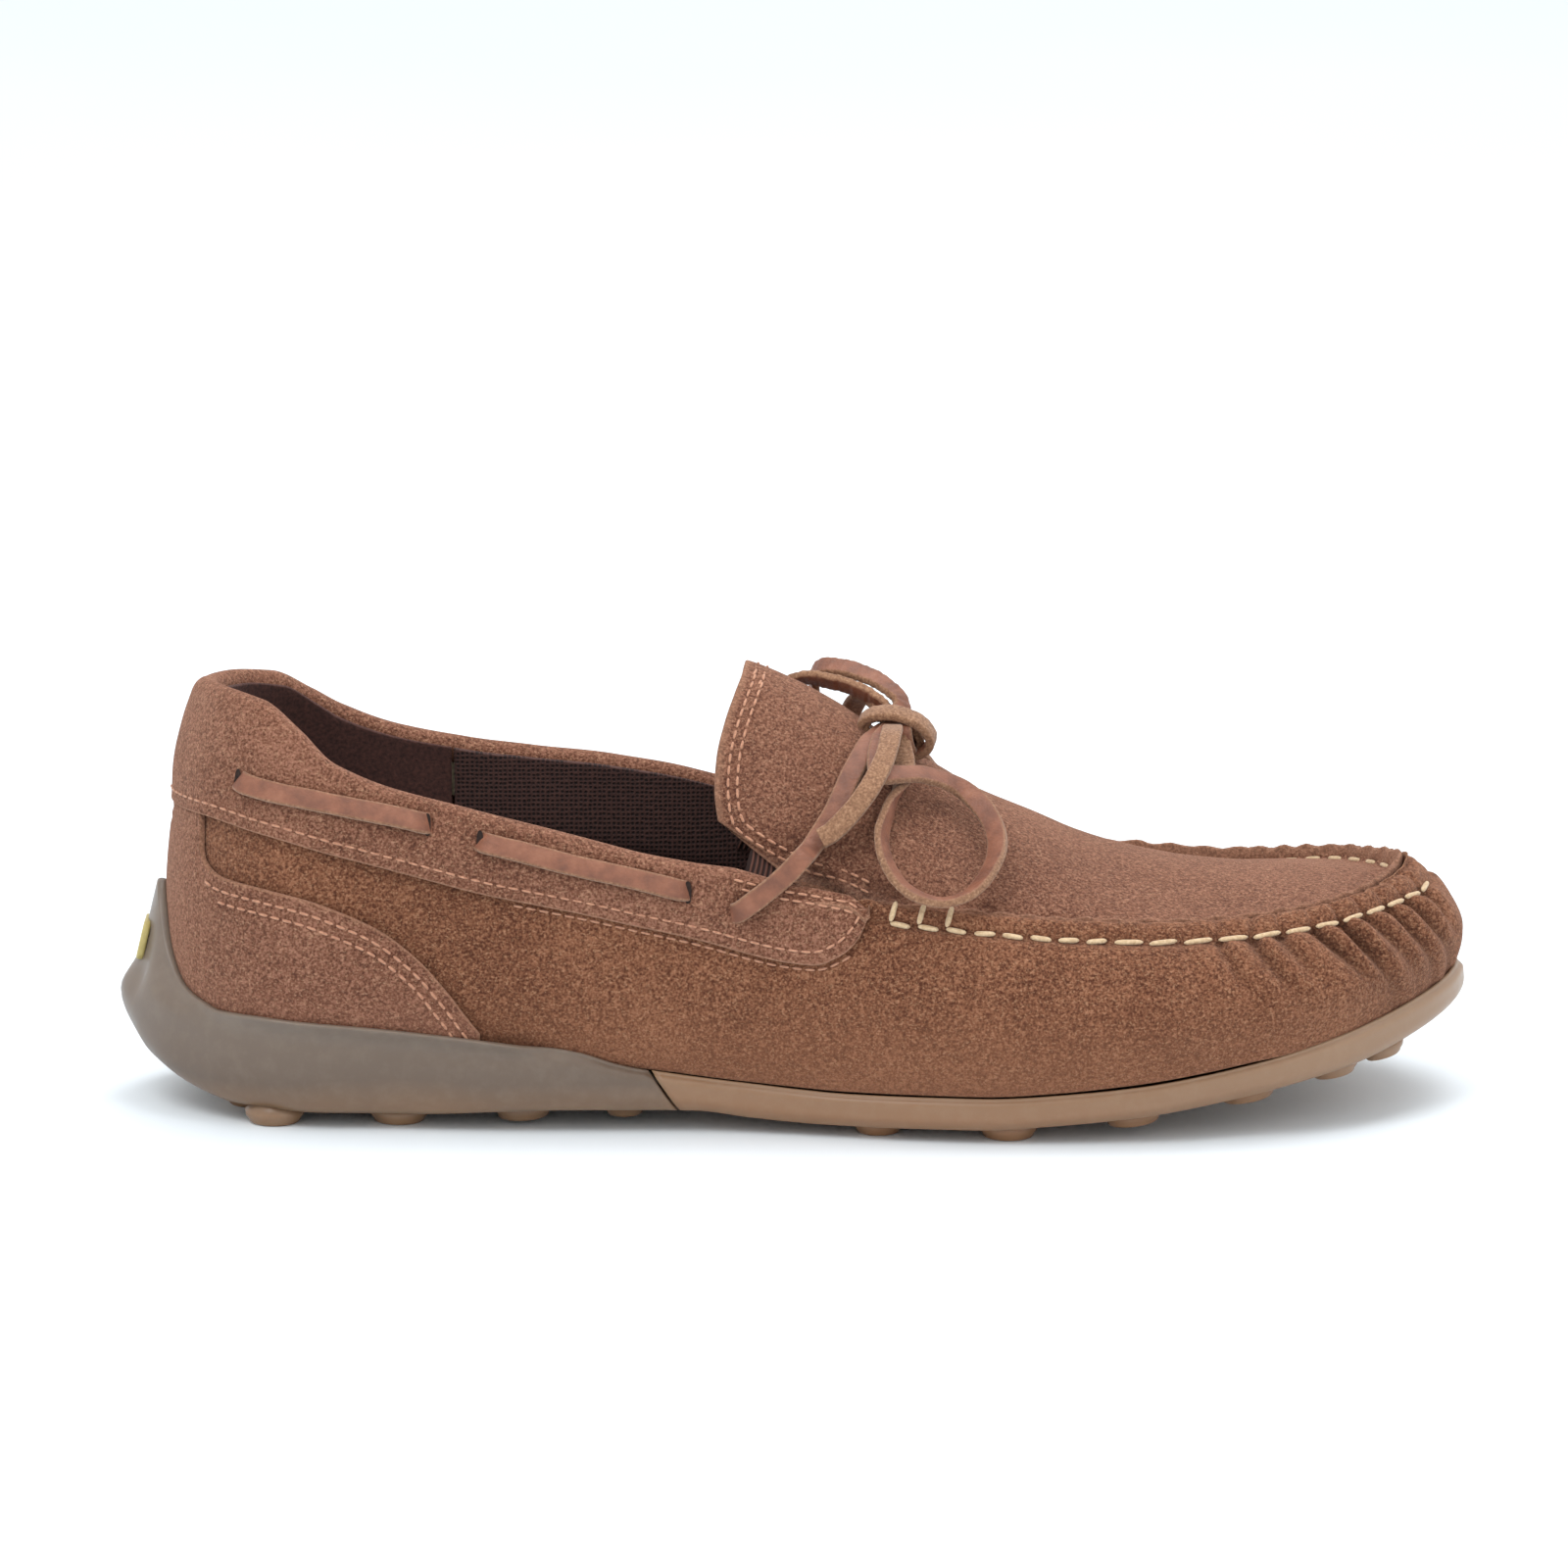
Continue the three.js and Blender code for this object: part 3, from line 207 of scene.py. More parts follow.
def catmull(knots, t):
    """Centripetal Catmull-Rom through knots, at shares t."""
    knots = np.asarray(knots, float)
    n = len(knots)
    full = np.vstack([2 * knots[0] - knots[1], knots, 2 * knots[-1] - knots[-2]])
    at = np.clip(t, 0, 1) * (n - 1)
    i = np.minimum(at.astype(int), n - 2)
    w = (at - i)[:, None]
    p0, p1, p2, p3 = (full[i + k] for k in range(4))
    d0, d1, d2 = (
        np.maximum(np.sqrt(np.linalg.norm(b - a, axis=1)), 1e-4)[:, None]
        for a, b in ((p0, p1), (p1, p2), (p2, p3)))
    m1 = ((p1 - p0) / d0 - (p2 - p0) / (d0 + d1) + (p2 - p1) / d1) * d1
    m2 = ((p2 - p1) / d1 - (p3 - p1) / (d1 + d2) + (p3 - p2) / d2) * d1
    return p1 + w * (m1 + w * ((-3 * p1 + 3 * p2 - 2 * m1 - m2) + w * (2 * p1 - 2 * p2 + m1 + m2)))


def spline(points, count):
    """Dense smooth points through coarse ones."""
    return catmull(points, np.linspace(0, 1, count))


SHARES = np.linspace(0, 1, 97)
_profiles = {}


def profile(side, p):
    """(rho, z, normal rho, normal z) along the wall's outer face at a station."""
    key = (side, round(float(p), 4))
    if key not in _profiles:
        reach, inset = wall_reach[side](p), top_inset(p)
        low, top = wall_floor(side, p), topline(side, p)
        foot = low + CORNER_RISE
        points = catmull([
            (reach - CORNER_REACH, low), (reach - 3.2, low + 2.6), (reach, foot),
            (reach + 1.2, mix(foot, top, 0.34)), (reach - 0.2 * inset, mix(foot, top, 0.68)),
            (reach - 0.58 * inset, mix(foot, top, 0.87)), (reach - inset, top)], SHARES)
        along = np.gradient(points, axis=0)
        along /= np.linalg.norm(along, axis=1)[:, None]
        z = np.maximum.accumulate(points[:, 1]) + 1e-6 * np.arange(len(points))
        _profiles[key] = points[:, 0], z, along[:, 1], -along[:, 0]
    return _profiles[key]


def on_wall(side, p, z, d):
    """Points on the wall at heights z, d outward from the wrap's outer face."""
    rho, zs, nr, nz = profile(side, p)
    z = np.asarray(z, float)
    r, a, b = (np.interp(z, zs, v) for v in (rho, nr, nz))
    return place(side, p, r + a * d, z + b * d)


def apron_edge(side, p):
    behind = 1 - smooth(p, 9, 22)
    gap = mix(UPPER + 0.6, 3.6 + 1.0 + 2.5, behind)
    return wall_reach[side](p) - top_inset(p) - gap, top_z(p) - mix(2.6, 0.4, behind)


def on_apron(side, p, share, lift=0.0):
    """Points on the apron and tongue: share 0 at the edge and 1 on the crown."""
    p, share, lift = np.broadcast_arrays(np.asarray(p, float), share, lift)
    rho, edge = apron_edge(side, p)
    x = np.clip(p, HEEL_X, TOE_X)

    def at(s):
        arch = np.sin(math.pi / 2 * np.clip(s, 0, 1)) ** arch_power(x)
        return rho * (1 - s), mix(edge, crown_z(x), arch)

    r, z = at(share)
    r1, z1 = at(np.minimum(share + 0.02, 1))
    r0, z0 = at(np.maximum(share - 0.02, 0.005))
    length = np.hypot(r1 - r0, z1 - z0)
    return place(side, p, np.maximum(r + (z1 - z0) / length * lift, 0), z - (r1 - r0) / length * lift)


def stations(low, high, step):
    return np.linspace(low, high, max(2, int(math.ceil((high - low) / step)) + 1))


def round_heel(front, step=1.5):
    ps = stations(P_HEEL, front, step)
    return [(LATERAL, p) for p in ps[::-1]] + [(MEDIAL, p) for p in ps[1:]]


def round_toe(rear, step=1.5):
    ps = stations(rear, P_TOE, step)
    return [(LATERAL, p) for p in ps] + [(MEDIAL, p) for p in ps[-2::-1]]


def one_side(side, low, high, step=1.5):
    ps = stations(low, high, step)
    return [(side, p) for p in (ps if side == LATERAL else ps[::-1])]


def noise1(s, seed=0.0):
    """Smooth repeatable noise of one variable, about -1 to 1."""
    s = np.asarray(s, float)
    return (
        np.sin(1.31 * s + seed) + np.sin(2.17 * s + 1.7 * seed + 1) + np.sin(0.53 * s + 2.3 * seed + 4)
    ) / 3


# ------------------------------------------------------------------ meshes

ROUNDING = 5  # points round each long edge of a sheet


def bell(x, width):
    return np.exp(-(x / width) ** 2)


def unit(v):
    return v / np.linalg.norm(v, axis=-1, keepdims=True)


def whole_turn(count):
    return np.arange(count) * 2 * math.pi / count


def travel_along(points):
    return np.concatenate([[0], np.cumsum(np.linalg.norm(np.diff(points, axis=0), axis=1))])


def new_object(name, vertices, faces, attributes=None, uv=None):
    """An object from part points in millimetres; uv holds one pair per vertex."""
    mesh = bpy.data.meshes.new(name)
    mesh.from_pydata(metres(vertices).tolist(), [], faces)
    mesh.update()
    for key, values in (attributes or {}).items():
        layer = mesh.attributes.new(key, "FLOAT", "POINT")
        layer.data.foreach_set("value", np.asarray(values, np.float32).ravel())
    if uv is not None:
        loops = np.empty(len(mesh.loops), np.int32)
        mesh.loops.foreach_get("vertex_index", loops)
        layer = mesh.uv_layers.new(name="UVMap")
        layer.data.foreach_set("uv", np.asarray(uv, np.float32)[loops].ravel())
    work = bmesh.new()
    work.from_mesh(mesh)
    bmesh.ops.remove_doubles(work, verts=work.verts, dist=2e-6)
    bmesh.ops.recalc_face_normals(work, faces=work.faces)
    work.to_mesh(mesh)
    work.free()
    mesh.polygons.foreach_set("use_smooth", [True] * len(mesh.polygons))
    thing = bpy.data.objects.new(name, mesh)
    bpy.context.scene.collection.objects.link(thing)
    return thing


def grid_faces(n, m, round_rows=False, round_columns=False):
    """Faces of n rows of m points; round means that the last row or column joins the first."""
    j = np.arange(m if round_columns else m - 1)
    k = (j + 1) % m
    faces = []
    for i in range(n if round_rows else n - 1):
        a, b = i * m, (i + 1) % n * m
        faces += np.stack([a + j, a + k, b + k, b + j], 1).tolist()
    return faces


def loft(rings, caps=True):
    """Vertices and faces of closed rings (n, m, 3)."""
    n, m = rings.shape[:2]
    faces = grid_faces(n, m, round_columns=True)
    if caps:
        faces += [list(range(m))[::-1], [(n - 1) * m + v for v in range(m)]]
    return rings.reshape(-1, 3), faces


def joined(parts):
    """Vertices and faces of several (vertices, faces) together."""
    vertices, faces, total = [], [], 0
    for points, own in parts:
        faces += [[total + v for v in face] for face in own]
        vertices.append(points)
        total += len(points)
    return np.concatenate(vertices), faces


def sheet_rings(outer, inner, round_edge):
    """Close two grids (n, m, 3) into rings, with both long edges rounded."""
    middle = (outer + inner) / 2
    rings = []
    for end, step in ((0, 1), (-1, -1)):
        out = outer[:, end] - outer[:, end + step]
        out /= np.maximum(np.linalg.norm(out, axis=-1, keepdims=True), 1e-6)
        half = (outer[:, end] - inner[:, end]) / 2
        arc = [middle[:, end] + half * math.sin(a) + out * round_edge * math.cos(a)
               for a in np.radians(np.linspace(-70, 70, ROUNDING))]
        rings.append(np.stack(arc, 1))
    low, high = rings
    return np.concatenate([outer, high[:, ::-1], inner[:, ::-1], low], 1)


def sheet_object(name, outer, inner, round_edge, uv=None, shade=None):
    """A sheet between two lists of rows, with 'edge' 1 on its cut edges and 'shade' marking painted shade in
    its creases.
    """
    outer, inner = np.array(outer), np.array(inner)
    rings = sheet_rings(outer, inner, round_edge)
    n, m = rings.shape[:2]
    columns = outer.shape[1]
    marks = {"edge": np.zeros((n, m))}
    marks["edge"][:, columns:columns + ROUNDING] = 1
    marks["edge"][:, -ROUNDING:] = 1
    marks["edge"][[0, -1]] = 1
    if shade is not None:
        marks["shade"] = np.zeros((n, m))
        marks["shade"][:, :columns] = shade
    pairs = None
    if uv is not None:
        pairs = np.stack([
            np.concatenate([w, w[:, [-1] * ROUNDING], w[:, ::-1], w[:, [0] * ROUNDING]], 1)
            for w in map(np.array, uv)], -1).reshape(-1, 2)
    return new_object(name, *loft(rings), marks, pairs)


def ribbon_object(name, at, face, width=LACE_WIDTH, wave=0.0, seed=0.0):
    """A flat thong along points; 'smooth_side' is 1 on its grained face and 'edge' 1 on its cut sides."""
    along = unit(np.gradient(at, axis=0))
    face = unit(face - along * np.sum(face * along, 1)[:, None])
    across = np.cross(along, face)
    travel = travel_along(at)
    wide = 0.95 * width * (1 + 0.025 * noise1(travel * 0.35, seed))
    thick = LACE_THICKNESS * (1 + 0.06 * noise1(travel * 0.5, seed + 2))
    corner = 0.30 * LACE_THICKNESS
    rings, smooth_side, cut = [], [], []
    for sx, sy in ((1, 1), (-1, 1), (-1, -1), (1, -1)):
        for phi in np.linspace(0, math.pi / 2, 4):
            c, s = (math.sin(phi), math.cos(phi)) if sx * sy < 0 else (math.cos(phi), math.sin(phi))
            x = sx * (wide / 2 - corner + corner * c)
            y = sy * (thick / 2 - corner + corner * s)
            cup = 0.10 * LACE_THICKNESS * (2 * x / width) ** 2
            rings.append(at + across * x[:, None] + face * (y + cup)[:, None])
            smooth_side.append(np.full(len(at), 1.0 if sy > 0 and s > 0.45 else 0.0))
            cut.append(np.full(len(at), 1.0 if s < 0.9 else 0.0))
    wrinkle = wave * noise1(travel * 1.9, seed + 5)
    rings = np.stack(rings, 1) + (face * wrinkle[:, None])[:, None, :]
    return new_object(name, *loft(rings), {"smooth_side": np.stack(smooth_side, 1), "edge": np.stack(cut, 1)})


def capsule(rows=7, around=8):
    """A rounded bar from -1 to 1, blunt at its ends."""
    points = []
    for i in range(rows):
        t = -math.cos(math.pi * (i + 0.5) / rows)
        r = (1 - abs(t) ** 4.5) ** 0.5
        points += [(t, r * math.cos(phi), r * math.sin(phi)) for phi in whole_turn(around)]
    return loft(np.array(points).reshape(rows, around, 3))


def stitches_object(name, stitches, width, height):
    """Small rounded stitches in one mesh: each has its start, its end and its up direction."""
    bar, bar_faces = capsule()
    parts = []
    for start, end, up in stitches:
        along = unit(end - start)
        up = unit(up - along * np.dot(up, along))
        half = np.array([(end - start) / 2, np.cross(up, along) * width / 2, up * height / 2])
        parts.append(((start + end) / 2 + bar @ half, bar_faces))
    return new_object(name, *joined(parts))


# ------------------------------------------------------------------ materials

def linear(colour, dim=1.0):
    """The shader's colour for one given as 0 to 255 on the screen."""
    shares = [v * dim / 255 for v in colour]
    return *(v / 12.92 if v <= 0.04045 else ((v + 0.055) / 1.055) ** 2.4 for v in shares), 1.0


class Look:
    """A material being made. An input is a number, a colour or another node's output."""

    def __init__(self, name):
        self.material = bpy.data.materials.new(name)
        self.material.use_nodes = True
        self.tree = self.material.node_tree

    def put(self, node, inputs):
        for key, value in inputs.items():
            if isinstance(value, bpy.types.NodeSocket):
                self.tree.links.new(value, node.inputs[key])
            else:
                node.inputs[key].default_value = value

    def node(self, kind, inputs, **settings):
        made = self.tree.nodes.new("ShaderNode" + kind)
        for key, value in settings.items():
            setattr(made, key, value)
        self.put(made, inputs)
        return made

    def place(self):
        return self.node("TexCoord", {}).outputs["Object"]

    def sheet_place(self):
        return self.node("UVMap", {}, uv_map="UVMap").outputs["UV"]

    def height(self):
        return self.node("SeparateXYZ", {0: self.place()}).outputs["Z"]

    def noise(self, size, detail=4.0, roughness=0.55, stretch=None):
        """Noise with features of about size metres."""
        where = self.place()
        if stretch:
            where = self.node("Mapping", {"Scale": stretch, "Vector": where}).outputs["Vector"]
        return self.node("TexNoise", {
            "Scale": 1 / size, "Detail": detail, "Roughness": roughness, "Vector": where}).outputs["Fac"]

    def ramp(self, value, *stops):
        node = self.node("ValToRGB", {"Fac": value})
        elements = node.color_ramp.elements
        while len(elements) < len(stops):
            elements.new(0.5)
        for element, (position, colour) in zip(elements, stops):
            element.position = position
            element.color = linear(colour)
        return node.outputs["Color"]

    def blend(self, factor, a, b):
        return self.node("Mix", {0: factor, 6: a, 7: b}, data_type="RGBA").outputs[2]

    def math(self, kind, a, b, clamp=False):
        return self.node("Math", {0: a, 1: b}, operation=kind, use_clamp=clamp).outputs[0]

    def weighted(self, *pairs):
        """Sum of values, each times its weight."""
        total = 0.0
        for value, weight in pairs:
            total = self.math("ADD", self.math("MULTIPLY", value, weight), total)
        return total

    def spread(self, value, low, high, out_low=0.0, out_high=1.0):
        """A value from low to high, spread over another range."""
        return self.node("MapRange", {"Value": value, "From Min": low, "From Max": high, "To Min": out_low,
                                      "To Max": out_high}).outputs[0]

    def marked(self, name, strength=1.0):
        """A mesh attribute, times a strength."""
        return self.math("MULTIPLY", self.node("Attribute", {}, attribute_name=name).outputs["Fac"], strength)

    def finished(self, inputs, relief=None, distance=0.0, strength=0.0):
        """The material, with the shader's inputs set and a bump from relief."""
        if relief is not None:
            bump = self.node("Bump", {"Distance": distance, "Strength": strength, "Height": relief})
            inputs["Normal"] = bump.outputs["Normal"]
        self.put(self.tree.nodes["Principled BSDF"], inputs)
        return self.material


def suede(name, dark, middle, light, cut):
    """Napped leather: faint patches where the nap lies differently, flecks, pale cut edges, a paler band
    towards the bottom, and painted shade in the creases.
    """
    look = Look(name)
    mottle = look.noise(0.0014, 4, 0.6)
    dots = look.noise(0.00078, 3, 0.8, stretch=(1.0, 1.0, 1.3))
    nap = look.weighted((look.noise(0.00058, 2, 0.6), 0.62), (mottle, 0.24), (look.noise(0.024, 3), 0.14))
    plain = look.ramp(nap, (0.4, dark), (0.5, middle), (0.59, light))
    lit = look.blend(look.spread(dots, 0.54, 0.66, 0, 0.7), plain, linear(cut))
    sunk = look.blend(look.spread(dots, 0.42, 0.3, 0, 0.6), lit, linear(dark, 0.82))
    # Paler towards the bottom: half way to the light colour at 8 mm height, fading out by 34 mm.
    paler_low = look.blend(look.spread(look.height(), 0.008, 0.034, 0.5, 0), sunk, linear(light))
    # Painted shade: darker where the 'shade' attribute marks a crease.
    crease_shaded = look.blend(look.marked("shade", 0.6), paler_low, linear(dark, 0.55))
    return look.finished({
        "Base Color": look.blend(look.marked("edge", 0.32), crease_shaded, linear(cut)),
        "Roughness": 0.95, "Specular IOR Level": 0.15, "Sheen Weight": 0.42, "Sheen Roughness": 0.4,
        "Sheen Tint": linear((226, 182, 158)),
    }, look.weighted((mottle, 0.4), (dots, 0.7)), 0.0011, 0.85)


def lace_leather():
    """Thong leather: a grained face, and a napped back and cut sides."""
    look = Look("lace_leather")
    pores = look.noise(0.0006, 3, 0.7)
    face = look.ramp(look.noise(0.004, 4), (0.3, (102, 60, 42)), (0.55, (128, 78, 55)), (0.75, (145, 94, 69)))
    back = look.ramp(pores, (0.3, (104, 70, 49)), (0.52, (140, 102, 75)), (0.72, (172, 135, 105)))
    grained = look.math("SUBTRACT", look.marked("smooth_side"), look.marked("edge", 0.7), clamp=True)
    return look.finished({
        "Base Color": look.blend(grained, back, face),
        "Roughness": look.spread(grained, 0, 1, 0.92, 0.5),
        "Sheen Weight": look.spread(grained, 0, 1, 0.15, 0.02),
    }, pores, 0.0005, 0.5)


def rubber(name, bottom, middle, top, roughness=0.34):
    """Rubber whose colour changes with its height, with a painted glow at the bottom and a little dust."""
    look = Look(name)
    height = look.math("ADD", look.height(), look.math("MULTIPLY", look.noise(0.03, 2), 0.006))
    # The bottom colour is a painted glow of light coming up through the rubber; above it the colour runs to
    # the middle one and to the top one at the rim.
    colour = look.ramp(look.spread(height, 0.003, 0.032), (0.0, bottom), (0.38, middle), (1.0, top))
    dust = look.noise(0.0035, 5, 0.65)
    return look.finished({
        "Base Color": look.blend(look.spread(dust, 0.45, 0.75, 0, 0.05), colour, linear((205, 190, 170))),
        "Roughness": look.spread(dust, 0.3, 0.7, roughness - 0.05, roughness + 0.12),
        "Subsurface Weight": 0.2, "Subsurface Scale": 0.004, "Subsurface Radius": (1.0, 0.6, 0.35),
        "Specular IOR Level": 0.45,
    }, dust, 0.0004, 0.1)


def plain_look(name, dark, light, size, roughness, distance=0.0005, strength=0.4, sheen=0.0):
    look = Look(name)
    speck = look.noise(size, 5, 0.6)
    return look.finished({
        "Base Color": look.ramp(speck, (0.32, dark), (0.68, light)), "Roughness": roughness,
        "Sheen Weight": sheen}, speck, distance, strength)


def knit():
    """Knitted lining: rows of small dark holes, in the sheet's own millimetres."""
    look = Look("mesh_lining")
    holes = look.node("TexVoronoi", {"Scale": 0.95, "Randomness": 0.22, "Vector": look.sheet_place()})
    strand = look.spread(holes.outputs["Distance"], 0.18, 0.46)
    worn = look.spread(look.noise(0.0016, 4, 0.6), 0.2, 0.8, 0.55, 1.2)
    colour = look.ramp(look.math("MULTIPLY", strand, worn),
                       (0.0, (34, 19, 18)), (0.55, (62, 39, 36)), (1.0, (82, 54, 48)))
    return look.finished({"Base Color": colour, "Roughness": 0.9}, strand, 0.0006, 0.6)


def ribbed():
    """Elastic: upright ribs about a millimetre apart, by the sheet's own coordinates."""
    look = Look("elastic")
    ribs = look.node("TexWave", {"Scale": 0.31, "Distortion": 0.6, "Detail": 1, "Vector": look.sheet_place()},
                     bands_direction="X").outputs["Fac"]
    colour = look.ramp(ribs, (0.1, (46, 28, 24)), (0.9, (112, 74, 62)))
    return look.finished({"Base Color": colour, "Roughness": 0.85}, ribs, 0.0006, 0.8)


SUEDE = suede("suede", (78, 45, 31), (111, 70, 50), (143, 97, 72), (178, 134, 103))
SUEDE_BAND = suede("suede_band", (86, 53, 41), (120, 79, 61), (148, 104, 85), (184, 142, 114))
SUEDE_TONGUE = suede("suede_apron", (82, 50, 40), (114, 75, 58), (143, 100, 80), (178, 136, 110))
LACE = lace_leather()
# The first colour of each rubber is the painted glow at its bottom.
RUBBER_HEEL = rubber("rubber_heel", (138, 106, 78), (98, 82, 69), (112, 99, 88))
RUBBER_FORE = rubber("rubber_forefoot", (138, 100, 70), (134, 103, 77), (146, 120, 97))
THREAD = plain_look("thread_cream", (178, 148, 112), (214, 190, 154), 0.0007, 0.8, 0.0004, 0.6, 0.2)
THREAD_TAN = plain_look("thread_tan", (160, 108, 82), (196, 146, 116), 0.0006, 0.8, 0.0003, 0.5, 0.2)
HEEL_LINING = plain_look("lining_suede", (52, 30, 27), (84, 52, 45), 0.0008, 0.95, 0.0006, 0.5)
SOCK = plain_look("sock_leather", (52, 36, 32), (78, 56, 48), 0.0012, 0.7, 0.0004)
FOAM = plain_look("foam", (196, 182, 150), (226, 214, 184), 0.0009, 0.95, 0.0006, 0.5)
BOARD = plain_look("stiffener_board", (150, 126, 92), (190, 164, 128), 0.0011, 0.9, 0.0003)
BADGE = plain_look("badge", (172, 156, 94), (184, 168, 106), 0.0009, 0.45, 0.0002, 0.3)
# Painted shade for the gaps of the lace slots.
SLOT_SHADOW = plain_look("slot_shadow", (28, 16, 12), (46, 28, 20), 0.0008, 0.95)
MESH_LINING = knit()
ELASTIC = ribbed()


def wear(thing, look):
    thing.data.materials.clear()
    thing.data.materials.append(look)


def fit(thing, look, slot, *replaces, body="shoe", blend=None):
    """Material, slot (not used), replaced CAD nodes, and the body of a piece or where it blends into the
    tongue.
    """
    wear(thing, look)
    if replaces:
        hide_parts(*replaces)
    if blend:
        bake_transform(thing)
    else:
        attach(thing, body)
    return thing


# ------------------------------------------------------------------ the bow and the other laces

KNOT = (22.8, 0.9, 5.6)
# Routes over the apron are station, share, lift and the turn of the smooth side in degrees.
LOOP_LATERAL = [
    (24.7, 0.655, 3.8, 150), (24, 0.503, 3.4, 120), (21.3, 0.34, 3.6, 72), (19.5, 0.185, 4.0, 60),
    (21.3, 0.087, 5.1, 55), (25.5, 0.031, 6.3, 52), (32.2, 0.011, 7.2, 52), (38.4, 0.035, 7.2, 50),
    (43.1, 0.149, 6.8, 44), (44.7, 0.322, 6.0, 34), (42.1, 0.516, 5.6, 24), (36.9, 0.604, 5.7, 14),
    (29.1, 0.552, 6.6, 8), (22.9, 0.465, 7.4, 4), (19.5, 0.424, 7.4, 4), (18.8, 0.5, 6.0, 4),
    (19.8, 0.66, 5.4, 4)]
# The far loop, as places and the way its smooth side faces.
LOOP_MEDIAL = [
    ((21.6, 0.8, 85.4), (0.2, -0.7, -0.7)), ((18.7, 3, 87.4), (0.2, -0.7, -0.7)),
    ((14.6, 5, 89.4), (0.1, -0.7, -0.7)), ((8.3, 7, 90.9), (0, -0.7, -0.7)),
    ((3.2, 9, 91.2), (0.1, -0.65, -0.75)), ((-1.2, 13, 89.2), (0.6, -0.3, -0.7)),
    ((-3.4, 19, 84.2), (1, 0, 0)), ((-1.9, 22.2, 80.3), (0.8, -0.2, 0.5)),
    ((1.4, 23.4, 78.9), (0, -0.3, 0.95)), ((4.4, 21.8, 81.4), (-0.8, -0.3, 0.4)),
    ((5.4, 18, 86.9), (-0.9, -0.3, 0.2)), ((6.2, 13.2, 92.2), (-0.5, -0.5, 0.7)),
    ((10.4, 10, 93.2), (0, -0.5, 0.85)), ((16.6, 7, 92), (0.2, -0.5, 0.85)),
    ((21.3, 4.4, 89.8), (0.5, -0.5, 0.75)), ((24.2, 1.6, 86.8), (0.7, -0.4, 0.6))]
END = {
    LATERAL: [
        (21.8, 0.661, 9.0, 180), (20.2, 0.478, 9.4, 180), (16.6, 0.303, 8.8, 180), (13, 0.197, 7.4, 180),
        (8.7, 0.113, 5.8, 180), (6.5, 0.091, 5.0, 180)],
    MEDIAL: [(25, 0.74, 2.2, 0), (29.5, 0.5, 2.0, 0), (34, 0.3, 2.2, 0)],
}
STANDING = {
    LATERAL: [
        (4.7, 0.069, 2.8, 0), (9.3, 0.197, 2.3, 0), (13.2, 0.4, 2.3, 0), (17, 0.641, 2.7, 0),
        (19.8, 0.8, 3.2, 0)],
    MEDIAL: [
        (4.7, 0.069, 2.8, 0), (9.3, 0.25, 2.6, 0), (12.6, 0.5, 3.4, 0), (15.4, 0.74, 5.2, 0),
        (19, 0.9, 5.4, 0)],
}
LACE_FRONT = -6.0
LACE_OUT = OVERLAY_OUT + 0.3 + LACE_THICKNESS / 2
LACE_IN = -0.35 - LACE_THICKNESS / 2
SLOTS = (-120.5, -78.0, -66.7, -22.0, -11.0)
SLOT_RUN = 5.0
LACE_HIDDEN_FRONT = -14.5  # inside the collar, where the standing lace takes over
# The standing lace's way out of the collar: station, height, distance out.
STANDING_RISE = [
    (-13.2, lace_z(-13.2) - 1.2, -0.4), (-11.4, 49.6, OVERLAY_OUT + 0.2), (-8.6, 51.6, LACE_OUT + 0.5),
    (-4.6, 54.4, LACE_OUT + 0.2), (-0.5, 57.9, 2.2), (2.3, 61.0, 0.8)]


def over_apron(side, p, share, lift):
    at = on_apron(side, p, share, lift)
    return at, on_apron(side, p, share, lift + 1) - at


def over_wall(side, p, z, d):
    at = on_wall(side, p, z, d)
    return at, on_wall(side, p, z, d + 1) - at


def along_route(side, points):
    """Places over the apron and the way the smooth side faces there, turned towards the route's middle."""
    places = [over_apron(side, *point[:3]) for point in points]
    centre = np.mean([at for at, _ in places], 0)
    turns = np.radians([point[3] for point in points])
    return [(at, face * math.cos(turn) + unit(centre - at) * math.sin(turn))
            for (at, face), turn in zip(places, turns)]


def lace_piece(name, node, places, count, wave, seed, **held):
    line, faces = (spline([place[k] for place in places], count) for k in (0, 1))
    thing = ribbon_object(name, line, faces, wave=wave, seed=seed)
    return fit(thing, LACE, "lace_leather", node, **held), line


def lace_cord(node, places, count, wave, seed):
    """A free lace that leaves the knot."""
    thing, line = lace_piece(node + "_lace", node, places, count, wave, seed, body="tongue")


knot_at, knot_face = knot = over_apron(LATERAL, *KNOT)


def bow():
    near_loop = along_route(LATERAL, LOOP_LATERAL)
    far_loop = [(np.array(at), np.array(face)) for at, face in LOOP_MEDIAL]
    lace_cord("bow_loop_lateral", [knot, *near_loop, knot], 260, 0.07, 3.0 + LATERAL)
    lace_cord("bow_loop_medial", [knot, *far_loop, knot], 260, 0.17, 3.0 + MEDIAL)
    for side, label in SIDES:
        inside = (knot_at + (0, 2.6, -0.5), knot_face)
        beside = (knot_at + (-0.5, 2.6 * side, -0.2), side * knot_face)
        lace_cord("lace_end_" + label, [inside, beside, *along_route(side, END[side])], 110, 0.08, 8.0 + side)
    for side, label in SIDES:
        rise = [over_wall(side, *point) for point in STANDING_RISE]
        lace_piece("standing_lace_" + label, "lace_standing_" + label,
                   [*rise, *along_route(side, STANDING[side]), knot], 120, 0.06, 12.0 + side,
                   blend=((-0.005, 0, 0.054), (0.014, 0, 0.076)))


bow()


def lace_level(p):
    """How far out the collar's lace runs: over the band or inside it, by the slots that it has passed."""
    passed = [smooth(p, slot - SLOT_RUN / 2, slot + SLOT_RUN / 2) for slot in SLOTS]
    return mix(LACE_IN, LACE_OUT, sum(passed[::2]) - sum(passed[1::2]))


